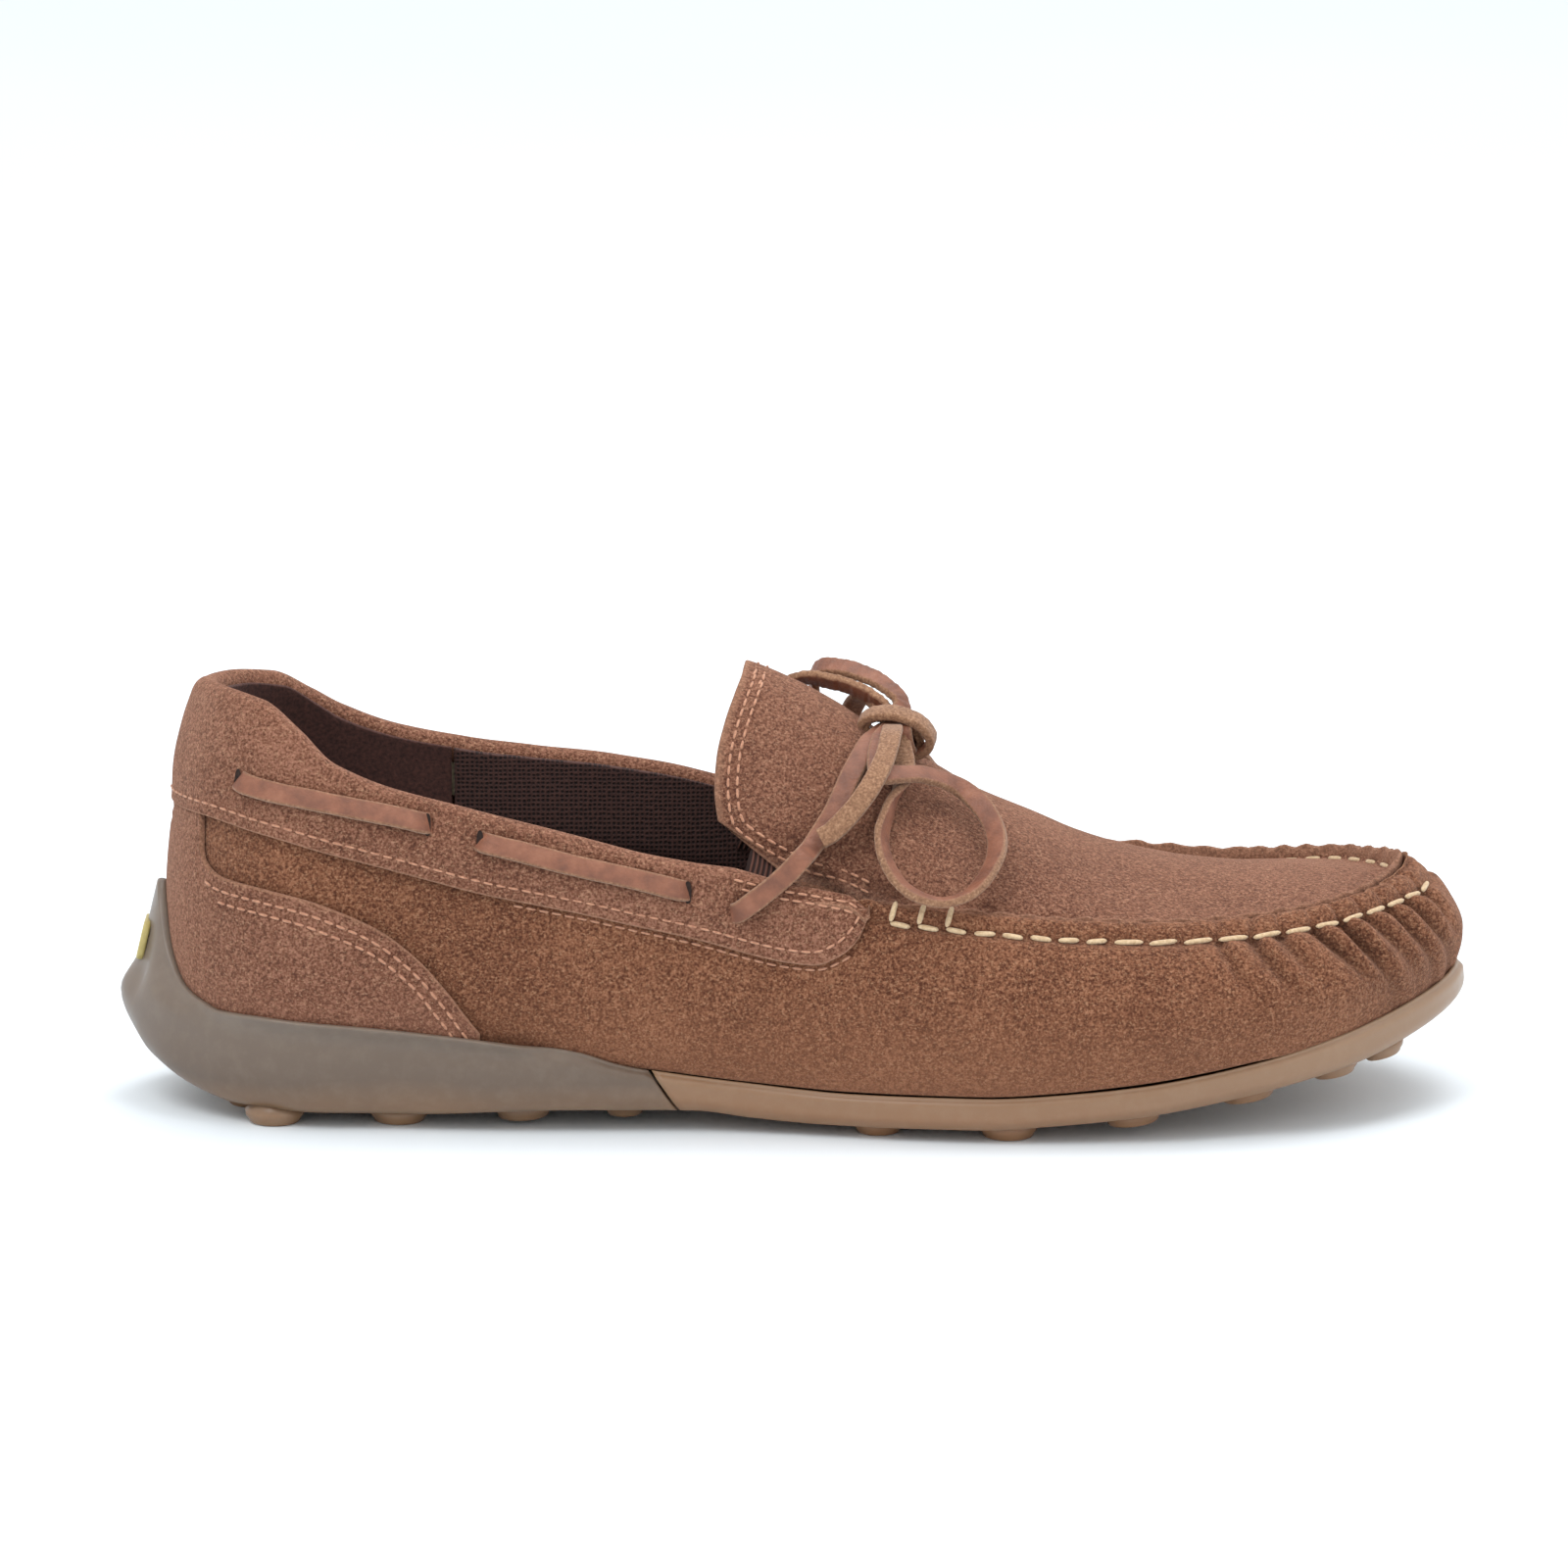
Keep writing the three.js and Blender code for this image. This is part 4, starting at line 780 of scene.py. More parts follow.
def collar_lace():
    places = [
        over_wall(side, p, lace_z(p) + 0.25 * noise1(p * 0.13, side),
                  lace_level(p) + 0.25 * noise1(p * 0.11, 2.0 + side))
        for side, p in round_heel(LACE_HIDDEN_FRONT, 0.8)]
    at, face = (np.array(v) for v in zip(*places))
    thing = ribbon_object("lace_collar_thong", at, face + (0, 0, 0.3), wave=0.08, seed=20.0)
    fit(thing, LACE, "lace_leather", "lace_collar")


collar_lace()


def knot_strap(name, offset, reach, sweep, tilts, seed, width, outward, *replaces):
    """A short strap arched over the knot: reach is its half width and height, tilts its turns in degrees."""
    a = np.radians(np.linspace(*sweep, 60))
    spin = np.array(Euler([math.radians(v) for v in tilts]).to_matrix()).T
    line, face = (np.stack([np.cos(a) * x, np.zeros_like(a), np.sin(a) * z], 1) @ spin
                  for x, z in (reach, reach[::-1]))
    centre = knot_at + (0, 0, -2.4)
    thing = ribbon_object(name, line + (centre + offset), outward * face, width=width, wave=0.12, seed=seed)
    fit(thing, LACE, "lace_leather", *replaces, body="tongue")


knot_strap("bow_knot_strap", (0.2, -0.6, 0.4), (8.0, 5.2), (-58, 208), (20, 12, -8), 31.0, 4.8, -1,
           "bow_knot")
knot_strap("bow_knot_under", (-0.6, 1.6, 0.2), (6.6, 3.6), (-62, 220), (14, 26, 10), 33.0, 5.0, -1)
knot_strap("bow_knot_bundle", (1.9, 0.8, -1.0), (5.2, 3.0), (0, 360), (-10, 20, 80), 35.0, 5.6, 1)

# ------------------------------------------------------------------ the sewn ridge round the apron

# Stitches up to these millimetres of seam.
SEAM_MARKS, SEAM_COUNTS = (21.3, 69.5, 99.6, 154.2), (0, 8, 12, 20)
stitch_drop = curve([(20, 3.9), (60, 3.5), (100, 3.2), (158, 3.3)])
GATHER_START, GATHER_GROWTH = 80.0, 18.0
RIDGE_THICKNESS = 3.3
TONGUE_BEND = ((0.036, 0, 0.060), (0.010, 0, 0.088))  # metres: where the tongue starts to lift, and is free
SHORTEN = 0.8  # millimetres of seam to each millimetre of station round the toe


def seam(p):
    """Distance along the sewn ridge at a station."""
    return np.where(p < TOE_X, p, TOE_X + (p - TOE_X) * SHORTEN)


def seam_station(s):
    return np.where(s < TOE_X, s, TOE_X + (s - TOE_X) / SHORTEN)


SEAM_TIP = seam(P_TOE)


def stitch_number(s):
    return np.interp(s, SEAM_MARKS, SEAM_COUNTS)


def stitch_place(number):
    return np.interp(number, SEAM_COUNTS, SEAM_MARKS)


def scatter(index, seed=0.0):
    """Repeatable number from 0 to 1 for a whole number."""
    value = np.sin(np.asarray(index, float) * 12.9898 + seed * 78.233) * 43758.5453
    return value - np.floor(value)


def ridge_weight(p):
    return smooth(p, 12, 24)


def wrap_relief(side, p, z):
    """How far the wrap's suede stands out of its plain shape: lip, stitch groove, lumps and gathers."""
    s, drop, weight = seam(p), top_z(p) - z, ridge_weight(p)
    level = stitch_drop(s)
    number = stitch_number(s)
    lump = 0.5 - 0.5 * math.cos(2 * math.pi * number)
    pinch, lip = bell(drop - level, 1.0), bell(drop - 1.1, 1.5)
    relief = weight * (-1.15 * pinch * (0.75 + 0.25 * lump) + lip * (0.45 + 0.4 * lump))
    below = np.clip(drop - level - 0.4, 0, None)
    gather = smooth(s, GATHER_START, GATHER_START + GATHER_GROWTH)
    for k in range(max(0, int(number) - 3), min(SEAM_COUNTS[-1], int(number) + 4)):
        start = stitch_place(k) - 0.4 + 1.6 * (scatter(k, 5.0 + side) - 0.5)
        fade = smooth(start, SEAM_TIP - 30, SEAM_TIP)
        lean = mix(0.6, 0.0, fade) * (0.7 + 0.7 * scatter(k, side + 2.0))
        centre = start + lean * below
        reach = mix(9, 17, scatter(k, 9.0 + side)) * mix(0.6, 1.0, gather)
        depth = mix(1.2, 2.9, scatter(k, 14.0 + side)) * mix(0.1, 1.0, gather)
        wide = mix(1.15, 1.7, scatter(k, 33.0 + side)) + 0.06 * below
        fall = bell(below, reach) * smooth(drop, level - 0.9, level + 0.7)
        crease = bell(s - start, 0.7) * bell(drop - 1.4, 1.9)
        relief = relief - weight * mix(0.2, 1.25, gather) * mix(0.4, 1.1, scatter(k, 21.0 + side)) * crease
        fold = bell(s - centre, wide) - 0.45 * bell(s - centre - 2.9, wide * 1.4)
        relief = relief - weight * depth * fall * fold
    fuzz = 0.09 * noise1(s * 3.1 + drop * 1.7, 4.0 + side) * bell(drop, 3.5) * weight
    hollow = 0.35 * noise1(p * 0.045 + z * 0.03, 2.0 + side) * (1 - bell(drop, 14))
    return relief + hollow + fuzz


ridge_rise = {
    LATERAL: curve([(20, -0.3), (140, -0.3), (158, 0.6), (P_TOE, 1.9)]),
    MEDIAL: curve([(20, 0), (40, 1.2), (58, 2.4), (78, 2.3), (100, 1.5), (126, 0.7), (150, 1), (P_TOE, 1.9)]),
}


def top_scallop(side, p):
    """How far the ridge's top edge stands above or below its plain line."""
    s = seam(p)
    uneven = 0.2 * noise1(s * 0.33, side) + 0.12 * noise1(s * 2.3, 3.0 + side)
    return ridge_weight(p) * (0.26 * math.cos(2 * math.pi * stitch_number(s)) + uneven
                              + ridge_rise[side](p))


def wrap_top(p):
    return mix(band_z(p) + 5.0, top_z(p), smooth(p, 1, 20))


def moccasin_wrap():
    rows = one_side(LATERAL, -140, 60, 1.6) + one_side(LATERAL, 60.5, P_TOE, 0.55)
    rows += [(MEDIAL, p) for _, p in rows[-2::-1]]
    share = np.concatenate([np.linspace(0, 0.6, 34), np.linspace(0.6, 1, 46)[1:]])
    outer, inner, shade = [], [], []
    for side, p in rows:
        low, high = wall_floor(side, p) + 4.5, wrap_top(p)
        z = mix(low, high + top_scallop(side, p), share)
        relief = wrap_relief(side, p, z)
        # Painted shade for the suede: how deep the relief sinks into a crease.
        shade.append(np.clip((-0.15 - relief) / 1.7, 0, 1))
        round_top = 0.9 * np.clip((z - high + 1.1) / 1.1, 0, 1) ** 2 * ridge_weight(p)
        outer.append(on_wall(side, p, z, relief - round_top))
        z_in = np.minimum(z, high - 0.2 + max(0.0, top_scallop(side, p)))
        inner.append(on_wall(side, p, z_in, -UPPER + 0.35 * np.minimum(relief, 0)))
    thing = sheet_object("wrap_suede", outer, inner, 0.5, shade=np.array(shade))
    fit(thing, SUEDE, "suede", "moccasin_wrap")


moccasin_wrap()


def apron_and_tongue():
    share = 1 - np.linspace(0, 1, 40) ** 0.9 * 0.93
    front = 40.0
    halves = []
    for side in (LATERAL, MEDIAL):
        rear = tongue_rear[side]
        rows = [(lambda s, a=a: rear(s) - 0.75 * math.cos(a), math.sin(a))
                for a in np.radians([0, 30, 60, 90])]
        rows += [(lambda s, k=k: mix(rear(s), front, k), 1.0) for k in np.linspace(0, 1, 46)[1:]]
        rows += [(lambda s, p=p: np.full_like(s, p), 1.0) for p in np.concatenate(
            [stations(front, TOE_X, 1.3)[1:], stations(TOE_X, P_TOE, 0.8)[1:]])]
        halves.append([apron_row(side, share, station, half) for station, half in rows])
    grid = np.array(halves[0] + halves[1][-2::-1])
    n, m = grid.shape[:2]
    edge = np.zeros((n, m))
    edge[:4] = edge[-4:] = 1
    edge[:, len(share) + 2:len(share) + 6] = 0.8
    thing = new_object("apron_suede", grid.reshape(-1, 3), grid_faces(n, m), {"edge": edge})
    fit(thing, SUEDE_TONGUE, "suede", "apron", "tongue", blend=TONGUE_BEND)


def apron_lift(side, p, share):
    """Soft hollows and the swell of the suede between edge and crown."""
    x = np.clip(p, -20, TOE_X)
    swell = 0.5 * noise1(x * 0.06 + 2.5 * share, 3.0 + side * (1 - share)) * share * (1 - share) * 2.2
    puckers = 0.3 * np.cos(2 * math.pi * stitch_number(seam(p)))
    puckers = puckers * np.exp(-((share * 40) / 5.0) ** 2) * ridge_weight(p)
    return swell + puckers


def apron_row(side, share, station, half):
    """One section of the apron: crown to edge on the outside, over the turned-up flange, and back inside."""
    p = station(share)
    middle, thick = -0.8, 0.8 * half
    out = on_apron(side, p, share, apron_lift(side, p, share) + middle + thick)
    inn = on_apron(side, p, share, middle - thick)
    p_edge = station(np.zeros(1))[0]
    weight = ridge_weight(p_edge) * (1 if half > 0.99 else half)
    rho_edge, z_edge = apron_edge(side, p_edge)
    reach, top = wall_reach[side](p_edge) - top_inset(p_edge), top_z(p_edge)
    scallop = top_scallop(side, p_edge)
    dent = 0.3 * math.cos(2 * math.pi * stitch_number(seam(p_edge)))
    flange = np.array([
        (reach - 3.9, z_edge + 0.3), (reach - 3.35 + dent * 0.5, z_edge + 1.0),
        (reach - RIDGE_THICKNESS + dent, top - 1.2), (reach - 2.9 + dent, top - 0.25 + scallop),
        (reach - 2.3, top + 0.1 + scallop),
        (reach - 1.8, top - 0.4 + scallop), (reach - 1.7, top - 3.5)])
    plain = np.array([
        (rho_edge * (1 - s), z_edge + z) for s, z in
        ((0.05, 0.5), (0.035, 0.2), (0.02, 0), (0.01, -0.1), (0, -0.3), (-0.01, -0.8), (-0.01, -1.5))])
    section = mix(plain, flange, weight)
    return np.concatenate([out, place(side, p_edge, *section.T), inn[::-1]])


apron_and_tongue()


def seam_point(side, s, drop, d):
    p = seam_station(s)
    return on_wall(side, p, top_z(p) - drop, d)


def inside_seam_point(side, s, drop, d):
    p = seam_station(s)
    reach = wall_reach[side](p) - top_inset(p)
    return place(side, p, reach - RIDGE_THICKNESS - d, top_z(p) - drop)


def hand_stitches():
    """The thick thread of the apron seam, seen on both faces of the ridge."""
    made = []

    def stitch(side, a, b, point, drop_of, d, slant=0.0):
        middle = (a + b) / 2
        first = point(side, a, drop_of(a) + slant, d)
        last = point(side, b, drop_of(b) - slant, d)
        up = point(side, middle, drop_of(middle), d + 1) - point(side, middle, drop_of(middle), d)
        made.append((first, last, up))

    for side in (LATERAL, MEDIAL):
        for k in range(SEAM_COUNTS[-1]):
            start, pitch = stitch_place(k), stitch_place(k + 1) - stitch_place(k)
            length = pitch * (0.74 + 0.1 * smooth(k, 6, 9) + 0.06 * (scatter(k, side + 4.0) - 0.5))
            slant = 0.5 * (scatter(k, 6.0 + side) - 0.5)
            stitch(side, start, start + length, seam_point, stitch_drop, -0.55, slant)
            stitch(side, start + 0.5, start + length - 0.5, inside_seam_point, lambda s: 2.2, 0.15)
            if k < 3:
                x = start + 0.1
                low = on_wall(side, x, (top_z(x) - stitch_drop(x)) + 0.3, 0.1)
                high = on_wall(side, x + 1.3, top_z(x) + 0.3, 0.5)
                up = on_wall(side, x, top_z(x) - 3, 2.0) - on_wall(side, x, top_z(x) - 3, 0)
                made.append((low, high, up))
    thing = stitches_object("apron_thread_stitches", made, 1.25, 1.15)
    fit(thing, THREAD, "seam_thread", "apron_thread")


hand_stitches()

# ------------------------------------------------------------------ collar band, heel counter cover

ROLL_IN = -4.3
COUNTER_ROWS = (2.3, 4.8)  # distances of the stitches from the heel panel's edge


def tab_fall(p):
    """Share by which the rounded front tab falls below the topline."""
    return smooth(p, 11.5, BAND_FRONT) ** 1.5


def heel_lap(p):
    """How far the band's lower edge stands out where it laps over the heel panel."""
    return 0.7 * (1 - smooth(p, -133, -122))


def roll_radius(p):
    return mix(mix(4.4, 3.0, smooth(p, -135, -105)), 0.75, smooth(p, -8, 10))


def band_section(side, p, face=OVERLAY_OUT):
    """The collar band's outer face from its low edge over the padded roll and a little way down inside."""
    low, radius = band_z(p), roll_radius(p)
    top = topline(side, p) + 0.2 - 2.4 * tab_fall(p)
    inside = mix(ROLL_IN, OVERLAY_IN, smooth(p, -8, 8))
    start = max(top - radius, low + 0.4)
    z = mix(low, start, np.linspace(0, 1, 26))
    rise = np.clip((z - low) / max(top - low, 1), 0, 1)
    pad = 0.9 * (1 - smooth(p, -20, 6)) * np.sin(math.pi * np.clip(rise * 1.1, 0, 1)) ** 1.5
    hollows = 0.28 * noise1(p * 0.16 + z * 0.05, 4.0 + side) * rise
    grip = np.zeros_like(z)
    for slot in SLOTS:
        grip -= 0.5 * bell(p - slot, 4.5) * bell(z - lace_z(p), 4.0)
    if lace_level(p) > 0 and p < LACE_FRONT:
        grip -= 0.55 * bell(z - lace_z(p), 2.4)
    lap = heel_lap(p) * (1 - smooth(z - low, 4, 16))
    outer = on_wall(side, p, z, face + pad + hollows + grip + lap)
    base = on_wall(side, p, start, 0.0)
    out = on_wall(side, p, start, 1.0) - base
    up = on_wall(side, p, start, 0.0) - on_wall(side, p, start - 1.0, 0.0)
    up /= np.linalg.norm(up)
    first = face + (pad[-1] + hollows[-1] + grip[-1])
    centre, reach = (first + inside) / 2, (first - inside) / 2
    rise_up = (top - start) / max(up[2], 0.5)
    phi = np.radians(np.linspace(0, 180, 22))[1:]
    roll = base + np.outer(centre + reach * np.cos(phi), out) + np.outer(rise_up * np.sin(phi), up)
    tuck = roll[-1] - up * np.array([[0.8], [1.8], [2.6]]) + out * np.array([[-0.05], [0.2], [0.9]])
    return np.concatenate([outer, roll, tuck])


def collar_band():
    rows = round_heel(BAND_FRONT, 1.1)
    outer = [band_section(side, p) for side, p in rows]
    inner = [face - 1.35 * section_normal(face, side, p) for (side, p), face in zip(rows, outer)]
    thing = sheet_object("collar_band_suede", outer, inner, 0.55)
    fit(thing, SUEDE_BAND, "suede_overlay", "collar_band")


def section_normal(face, side, p):
    """Outward normals of a section's points, in the section's own plane."""
    ray = place(side, p, 1.0, 0.0) - place(side, p, 0.0, 0.0)
    along = np.gradient(face, axis=0)
    r, z = along @ ray, along[:, 2]
    length = np.maximum(np.hypot(r, z), 1e-6)
    return np.outer(z / length, ray) + np.outer(-r / length, [0, 0, 1.0])


collar_band()


def counter_top(p):
    return np.where(p < -131.4, band_z(p), counter_z(p)) - 0.1


def counter_cover():
    rows = round_heel(COUNTER_FRONT, 0.9)
    share = np.linspace(0, 1, 40)
    outer, inner = [], []
    for side, p in rows:
        high = counter_top(p)
        low = min(wall_floor(side, p) + 8.0, high - 1.0)
        z = mix(low, high, share)
        swell = 0.3 * noise1(p * 0.07 + z * 0.06, 7.0 + side)
        row = -0.22 * sum(bell(high - z - inset, 0.5) for inset in COUNTER_ROWS)
        outer.append(on_wall(side, p, z, OVERLAY_OUT + swell + row))
        inner.append(on_wall(side, p, z, OVERLAY_IN + swell * 0.5))
    thing = sheet_object("heel_counter_suede", outer, inner, 0.55)
    fit(thing, SUEDE_BAND, "suede_overlay", "heel_counter_cover")


counter_cover()

# ------------------------------------------------------------------ linings, padding and footbed

LINING_GAP, LINING_THICKNESS = 0.9, 0.95
BACKING = 3.6  # depth of the collar's padding and of the heel board, in from the wrap's outer face


def wall_sheet(name, rows, low, high, d_out, d_in, columns, look, slot, node, relief=0.0, seed=0.0):
    """A sheet along the wall between two heights and two depths, with its own millimetres as uv."""
    outer, inner, heights = [], [], []
    for side, p in rows:
        z = mix(low(side, p), high(side, p), np.linspace(0, 1, columns))
        wave = relief * noise1(p * 0.09 + z * 0.08, seed + side)
        outer.append(on_wall(side, p, z, d_out(side, p, z)))
        inner.append(on_wall(side, p, z, d_in(side, p, z) + wave))
        heights.append(z)
    travel = travel_along([row[-1] for row in inner])
    uv = np.repeat(travel[:, None], columns, 1), heights
    return fit(sheet_object(name, outer, inner, 0.3, uv=uv), look, slot, node)


def flat(value):
    return lambda side, p, z: np.full_like(z, value)


def lining_out(side, p, z):
    """Behind the collar's padding above, and against the wrap or the heel board below."""
    edge = wrap_top(p)
    upper = mix(UPPER, BACKING, 1 - smooth(p, 2, 12.4))
    lower = mix(UPPER, BACKING, 1 - smooth(p, -100, -75))
    return -mix(lower, upper, smooth(z, edge - 8, edge - 1)) - LINING_GAP


def lining_in(side, p, z):
    return lining_out(side, p, z) - LINING_THICKNESS


def lining_low(side, p):
    return wall_floor(side, p) + 7.0


def lining(name, rows, drop, columns, look, slot, node, relief, seed):
    """A lining from the footbed up to a drop below the topline."""
    wall_sheet(name, rows, lining_low, lambda side, p: topline(side, p) - drop(p), lining_out, lining_in,
               columns, look, slot, node, relief, seed)


lining("lining_heel_suede", round_heel(-75, 1.4), lambda p: 1.5, 60, HEEL_LINING, "heel_lining",
       "lining_heel", 0.35, 1.0)
for side, label in SIDES:
    lining("lining_quarter_mesh_" + label, one_side(side, -74.4, 13.1, 1.4),
           lambda p: mix(1.5, 6.5, smooth(p, -8, 8)), 60, MESH_LINING, "mesh_lining",
           "lining_quarter_" + label, 0.4, 2.0)
lining("lining_vamp_mesh", round_toe(13.7, 2.0), lambda p: 6.5, 30, MESH_LINING, "mesh_lining", "lining_vamp",
       0.2, 3.0)
wall_sheet(
    "heel_stiffener_board", round_heel(-100, 2.0), lambda side, p: wall_floor(side, p) + 10,
    lambda side, p: wrap_top(p) - 1, flat(-2.2), flat(-3.4), 16, BOARD, "stiffener_board", "heel_stiffener")
collar_foam = wall_sheet(
    "collar_foam_pad", round_heel(-2, 1.6), lambda side, p: wrap_top(p) + 0.9,
    lambda side, p: topline(side, p) - 1.6, flat(0.0), flat(-3.4), 14, FOAM, "foam", "collar_foam")


def footbed(name, low, high, flare_low, flare_high, look, slot, node, dish=0.0):
    """A layer between two heights over the floor, each wider than the floor by its flare."""
    rows = round_toe(P_HEEL, 2.0)[:-1]
    share = np.linspace(0, 1, 24)

    def grid(rise, flare, sink):
        made = []
        for side, p in rows:
            edge = wall_reach[side](p) - CORNER_REACH
            rho = edge * share + flare * smooth(share, 0.7, 1.0)
            made.append(draped(side, p, rho, floor_z, rise - sink * (1 - share ** 4)))
        return np.array(made)

    sections = np.concatenate([grid(high, flare_high, dish), grid(low, flare_low, 0.0)[:, ::-1]], 1)
    points = sections.reshape(-1, 3)
    faces = grid_faces(*sections.shape[:2], round_rows=True)
    return fit(new_object(name, points, faces, uv=points[:, :2]), look, slot, node)


footbed("insole_foam_pad", 1.9, 5.9, 0, 6, FOAM, "foam", "insole_foam")
footbed("sock_liner_leather", 6.2, 7.4, 6.6, 7.5, SOCK, "sock_leather", "sock_liner", dish=0.6)


def gore(side, label):
    """Ribbed elastic from inside the collar up to the tongue's underside."""
    columns, outer, inner = 14, [], []
    shares = np.linspace(0, 1, 40)
    for k in shares:
        p_low, p_high = mix(-12, 12, k), mix(-8.5, 13, k)
        low = on_wall(side, p_low, top_z(p_low) - 9, -5.9)
        middle = on_apron(side, p_high, 0.015, -1.7)
        high = on_apron(side, p_high, 0.16, -2.0)
        line = spline([low, middle, high], columns)
        outer.append(line)
        inner.append(line - (0, side * 0.8, 0))
    uv = np.meshgrid(shares * 21, np.linspace(0, 14, columns), indexing="ij")
    thing = sheet_object("gore_elastic_" + label, outer, inner, 0.3, uv=uv)
    fit(thing, ELASTIC, "elastic", "gore_" + label, blend=((-0.004, 0, 0.058), (0.004, 0, 0.068)))


for side, label in SIDES:
    gore(side, label)

# ------------------------------------------------------------------ rubber sole

SPLIT_X, SPLIT_Z, SPLIT_SLOPE, SPLIT_REACH = -27.0, 9.0, 6.2 / 9, 22


def sole_row(side, p):
    """Section of the rubber: bottom to rim on the outside, then down the wrap's side and in to the spine."""
    reach = wall_reach[side](p)
    x = place(side, p, reach, 0.0)[0]
    rise = fin_rise(p)
    rim, bottom = rim_z(x) + rise, sole_z(x)
    in_heel = 1 - smooth(p, -60, -50)
    face = mix(-0.15, OVERLAY_OUT + 0.3, in_heel)
    flare = heel_reach(p) if p < -60 else mix(3, 2.2, smooth(p, -60, 0))
    fin = smooth(rise, 2, 20)
    floor_edge = wall_floor(side, p) + CORNER_RISE
    height = rim - bottom
    hug = mix(rim - 0.6, floor_edge, in_heel)
    spine = place(side, p, 0.0, 0.0)

    def reach_at(z, d):
        base = on_wall(side, p, z, d) - spine
        return np.hypot(base[..., 0], base[..., 1])

    def out(z, extra):
        return reach_at(max(z, hug), 0.0) + extra, z

    lip = face + mix(1.1, 1.5, in_heel)
    knots = [
        (reach - mix(8, 9, fin), bottom), (reach - mix(2.5, 4, fin), bottom + 0.3),
        out(bottom + 0.1 * height, mix(flare * 0.45, flare * 0.25, fin)),
        out(bottom + mix(0.32, 0.2, fin) * height, mix(flare, flare * 0.72, fin)),
        out(bottom + mix(0.62, 0.42, fin) * height, mix(flare * 1.02, flare, fin)),
        out(bottom + mix(0.86, 0.62, fin) * height, mix(flare * 0.9, flare * 0.62, fin)),
        out(rim - 0.25, mix(lip, lip + 0.4, fin))]
    outer = spline(knots, 34)
    rho_in = reach_at(rim, face - 0.1)
    half = (outer[-1, 0] - rho_in) / 2
    phi = np.radians(np.linspace(20, 170, 7))
    lip_round = np.stack([rho_in + half + half * np.cos(phi), rim - 0.25 + 0.5 * np.sin(phi)], 1)
    z_in = np.linspace(rim - 0.9, wall_floor(side, p) + 0.6, 8)
    section = np.concatenate([outer, lip_round, np.stack([reach_at(z_in, face - 0.1), z_in], 1)])
    return np.concatenate([
        draped(side, p, np.linspace(0, knots[0][0], 7)[:-1], sole_z), place(side, p, *section.T),
        draped(side, p, np.linspace(reach - CORNER_REACH, 0, 5), floor_z, -0.3)])


def to_slit(row, p, gap):
    """Slants the rows near the slit between the two rubber units."""
    row[:, 0] += smooth(abs(p - SPLIT_X), SPLIT_REACH, 0) * ((SPLIT_Z - row[:, 2]) * SPLIT_SLOPE + gap)
    return row


# Grip pods: x, shares of the way out to the wall, negative on the lateral side, and scale.
PODS = [(x, share, scale) for x, shares, scale in (
    (-118, (-0.3, 0.3), 0.9), (-112, (-0.78, 0.78), 1), (-96, (0,), 1), (-85, (-0.74, 0.74), 1),
    (-69, (0,), 1), (-58, (-0.72, 0.72), 1), (-43, (0,), 0.9), (-36, (-0.7, 0.7), 0.7), (2, (0,), 0.9),
    (19, (-0.78, 0.76), 0.85), (33, (0,), 1), (47, (-0.8, 0.78), 1), (61, (0,), 1), (74, (-0.78, 0.78), 1),
    (88, (0,), 1), (99, (-0.74, 0.74), 1), (112, (0,), 0.95), (118, (-0.62, 0.62), 0.8),
    (129, (-0.5, 0.5), 0.68)) for share in shares]


def pod_rings(x, share, scale):
    """One grip pod: upright where it stands on the ground, square to the sole where it doesn't."""
    y = spine_y(x) + share * wall_reach[LATERAL if share < 0 else MEDIAL](min(x, TOE_X))
    radius, root = 7.0 * scale, sole_z(x)
    foot = max(0.0, root - 2.7)
    foot = 0.0 if foot < 0.4 else foot
    slope = (sole_z(x + 6) - sole_z(x - 6)) / 12 if foot > 0 else 0.0
    bevel = 0.9
    outline = [(0.0, foot), (radius * 0.5, foot)]
    outline += [(radius * 0.8 - bevel + bevel * math.sin(a), foot + bevel - bevel * math.cos(a))
                for a in np.radians([0, 30, 60, 90])]
    outline += [(radius * 0.9, (foot + root) / 2 + 0.3), (radius * 0.93, root + 0.1),
                (radius * 0.5, root + 2.4)]
    phi = whole_turn(32)
    return np.array([
        np.stack([x + r * np.cos(phi), y + r * np.sin(phi), z + r * np.cos(phi) * slope], 1)
        for r, z in outline])


def sole_unit(name, rows, gap, pods, look, slot, node):
    """One rubber unit: its sections from end to end, closed at both, and its pods."""
    grid = np.array([to_slit(sole_row(side, p), p, gap) for side, p in rows])
    n, m = grid.shape[:2]
    faces = grid_faces(n, m) + [list(range(m)), [(n - 1) * m + v for v in range(m)][::-1]]
    parts = [(grid.reshape(-1, 3), faces)] + [loft(pod_rings(*pod), caps=False) for pod in pods]
    fit(new_object(name, *joined(parts)), look, slot, node)


sole_unit("outsole_heel_rubber", round_heel(SPLIT_X), -0.4, [pod for pod in PODS if pod[0] < SPLIT_X],
          RUBBER_HEEL, "gum_heel", "outsole_heel")
sole_unit("outsole_forefoot_rubber", round_toe(SPLIT_X), 0.4, [pod for pod in PODS if pod[0] > SPLIT_X],
          RUBBER_FORE, "gum_forefoot", "outsole_forefoot")


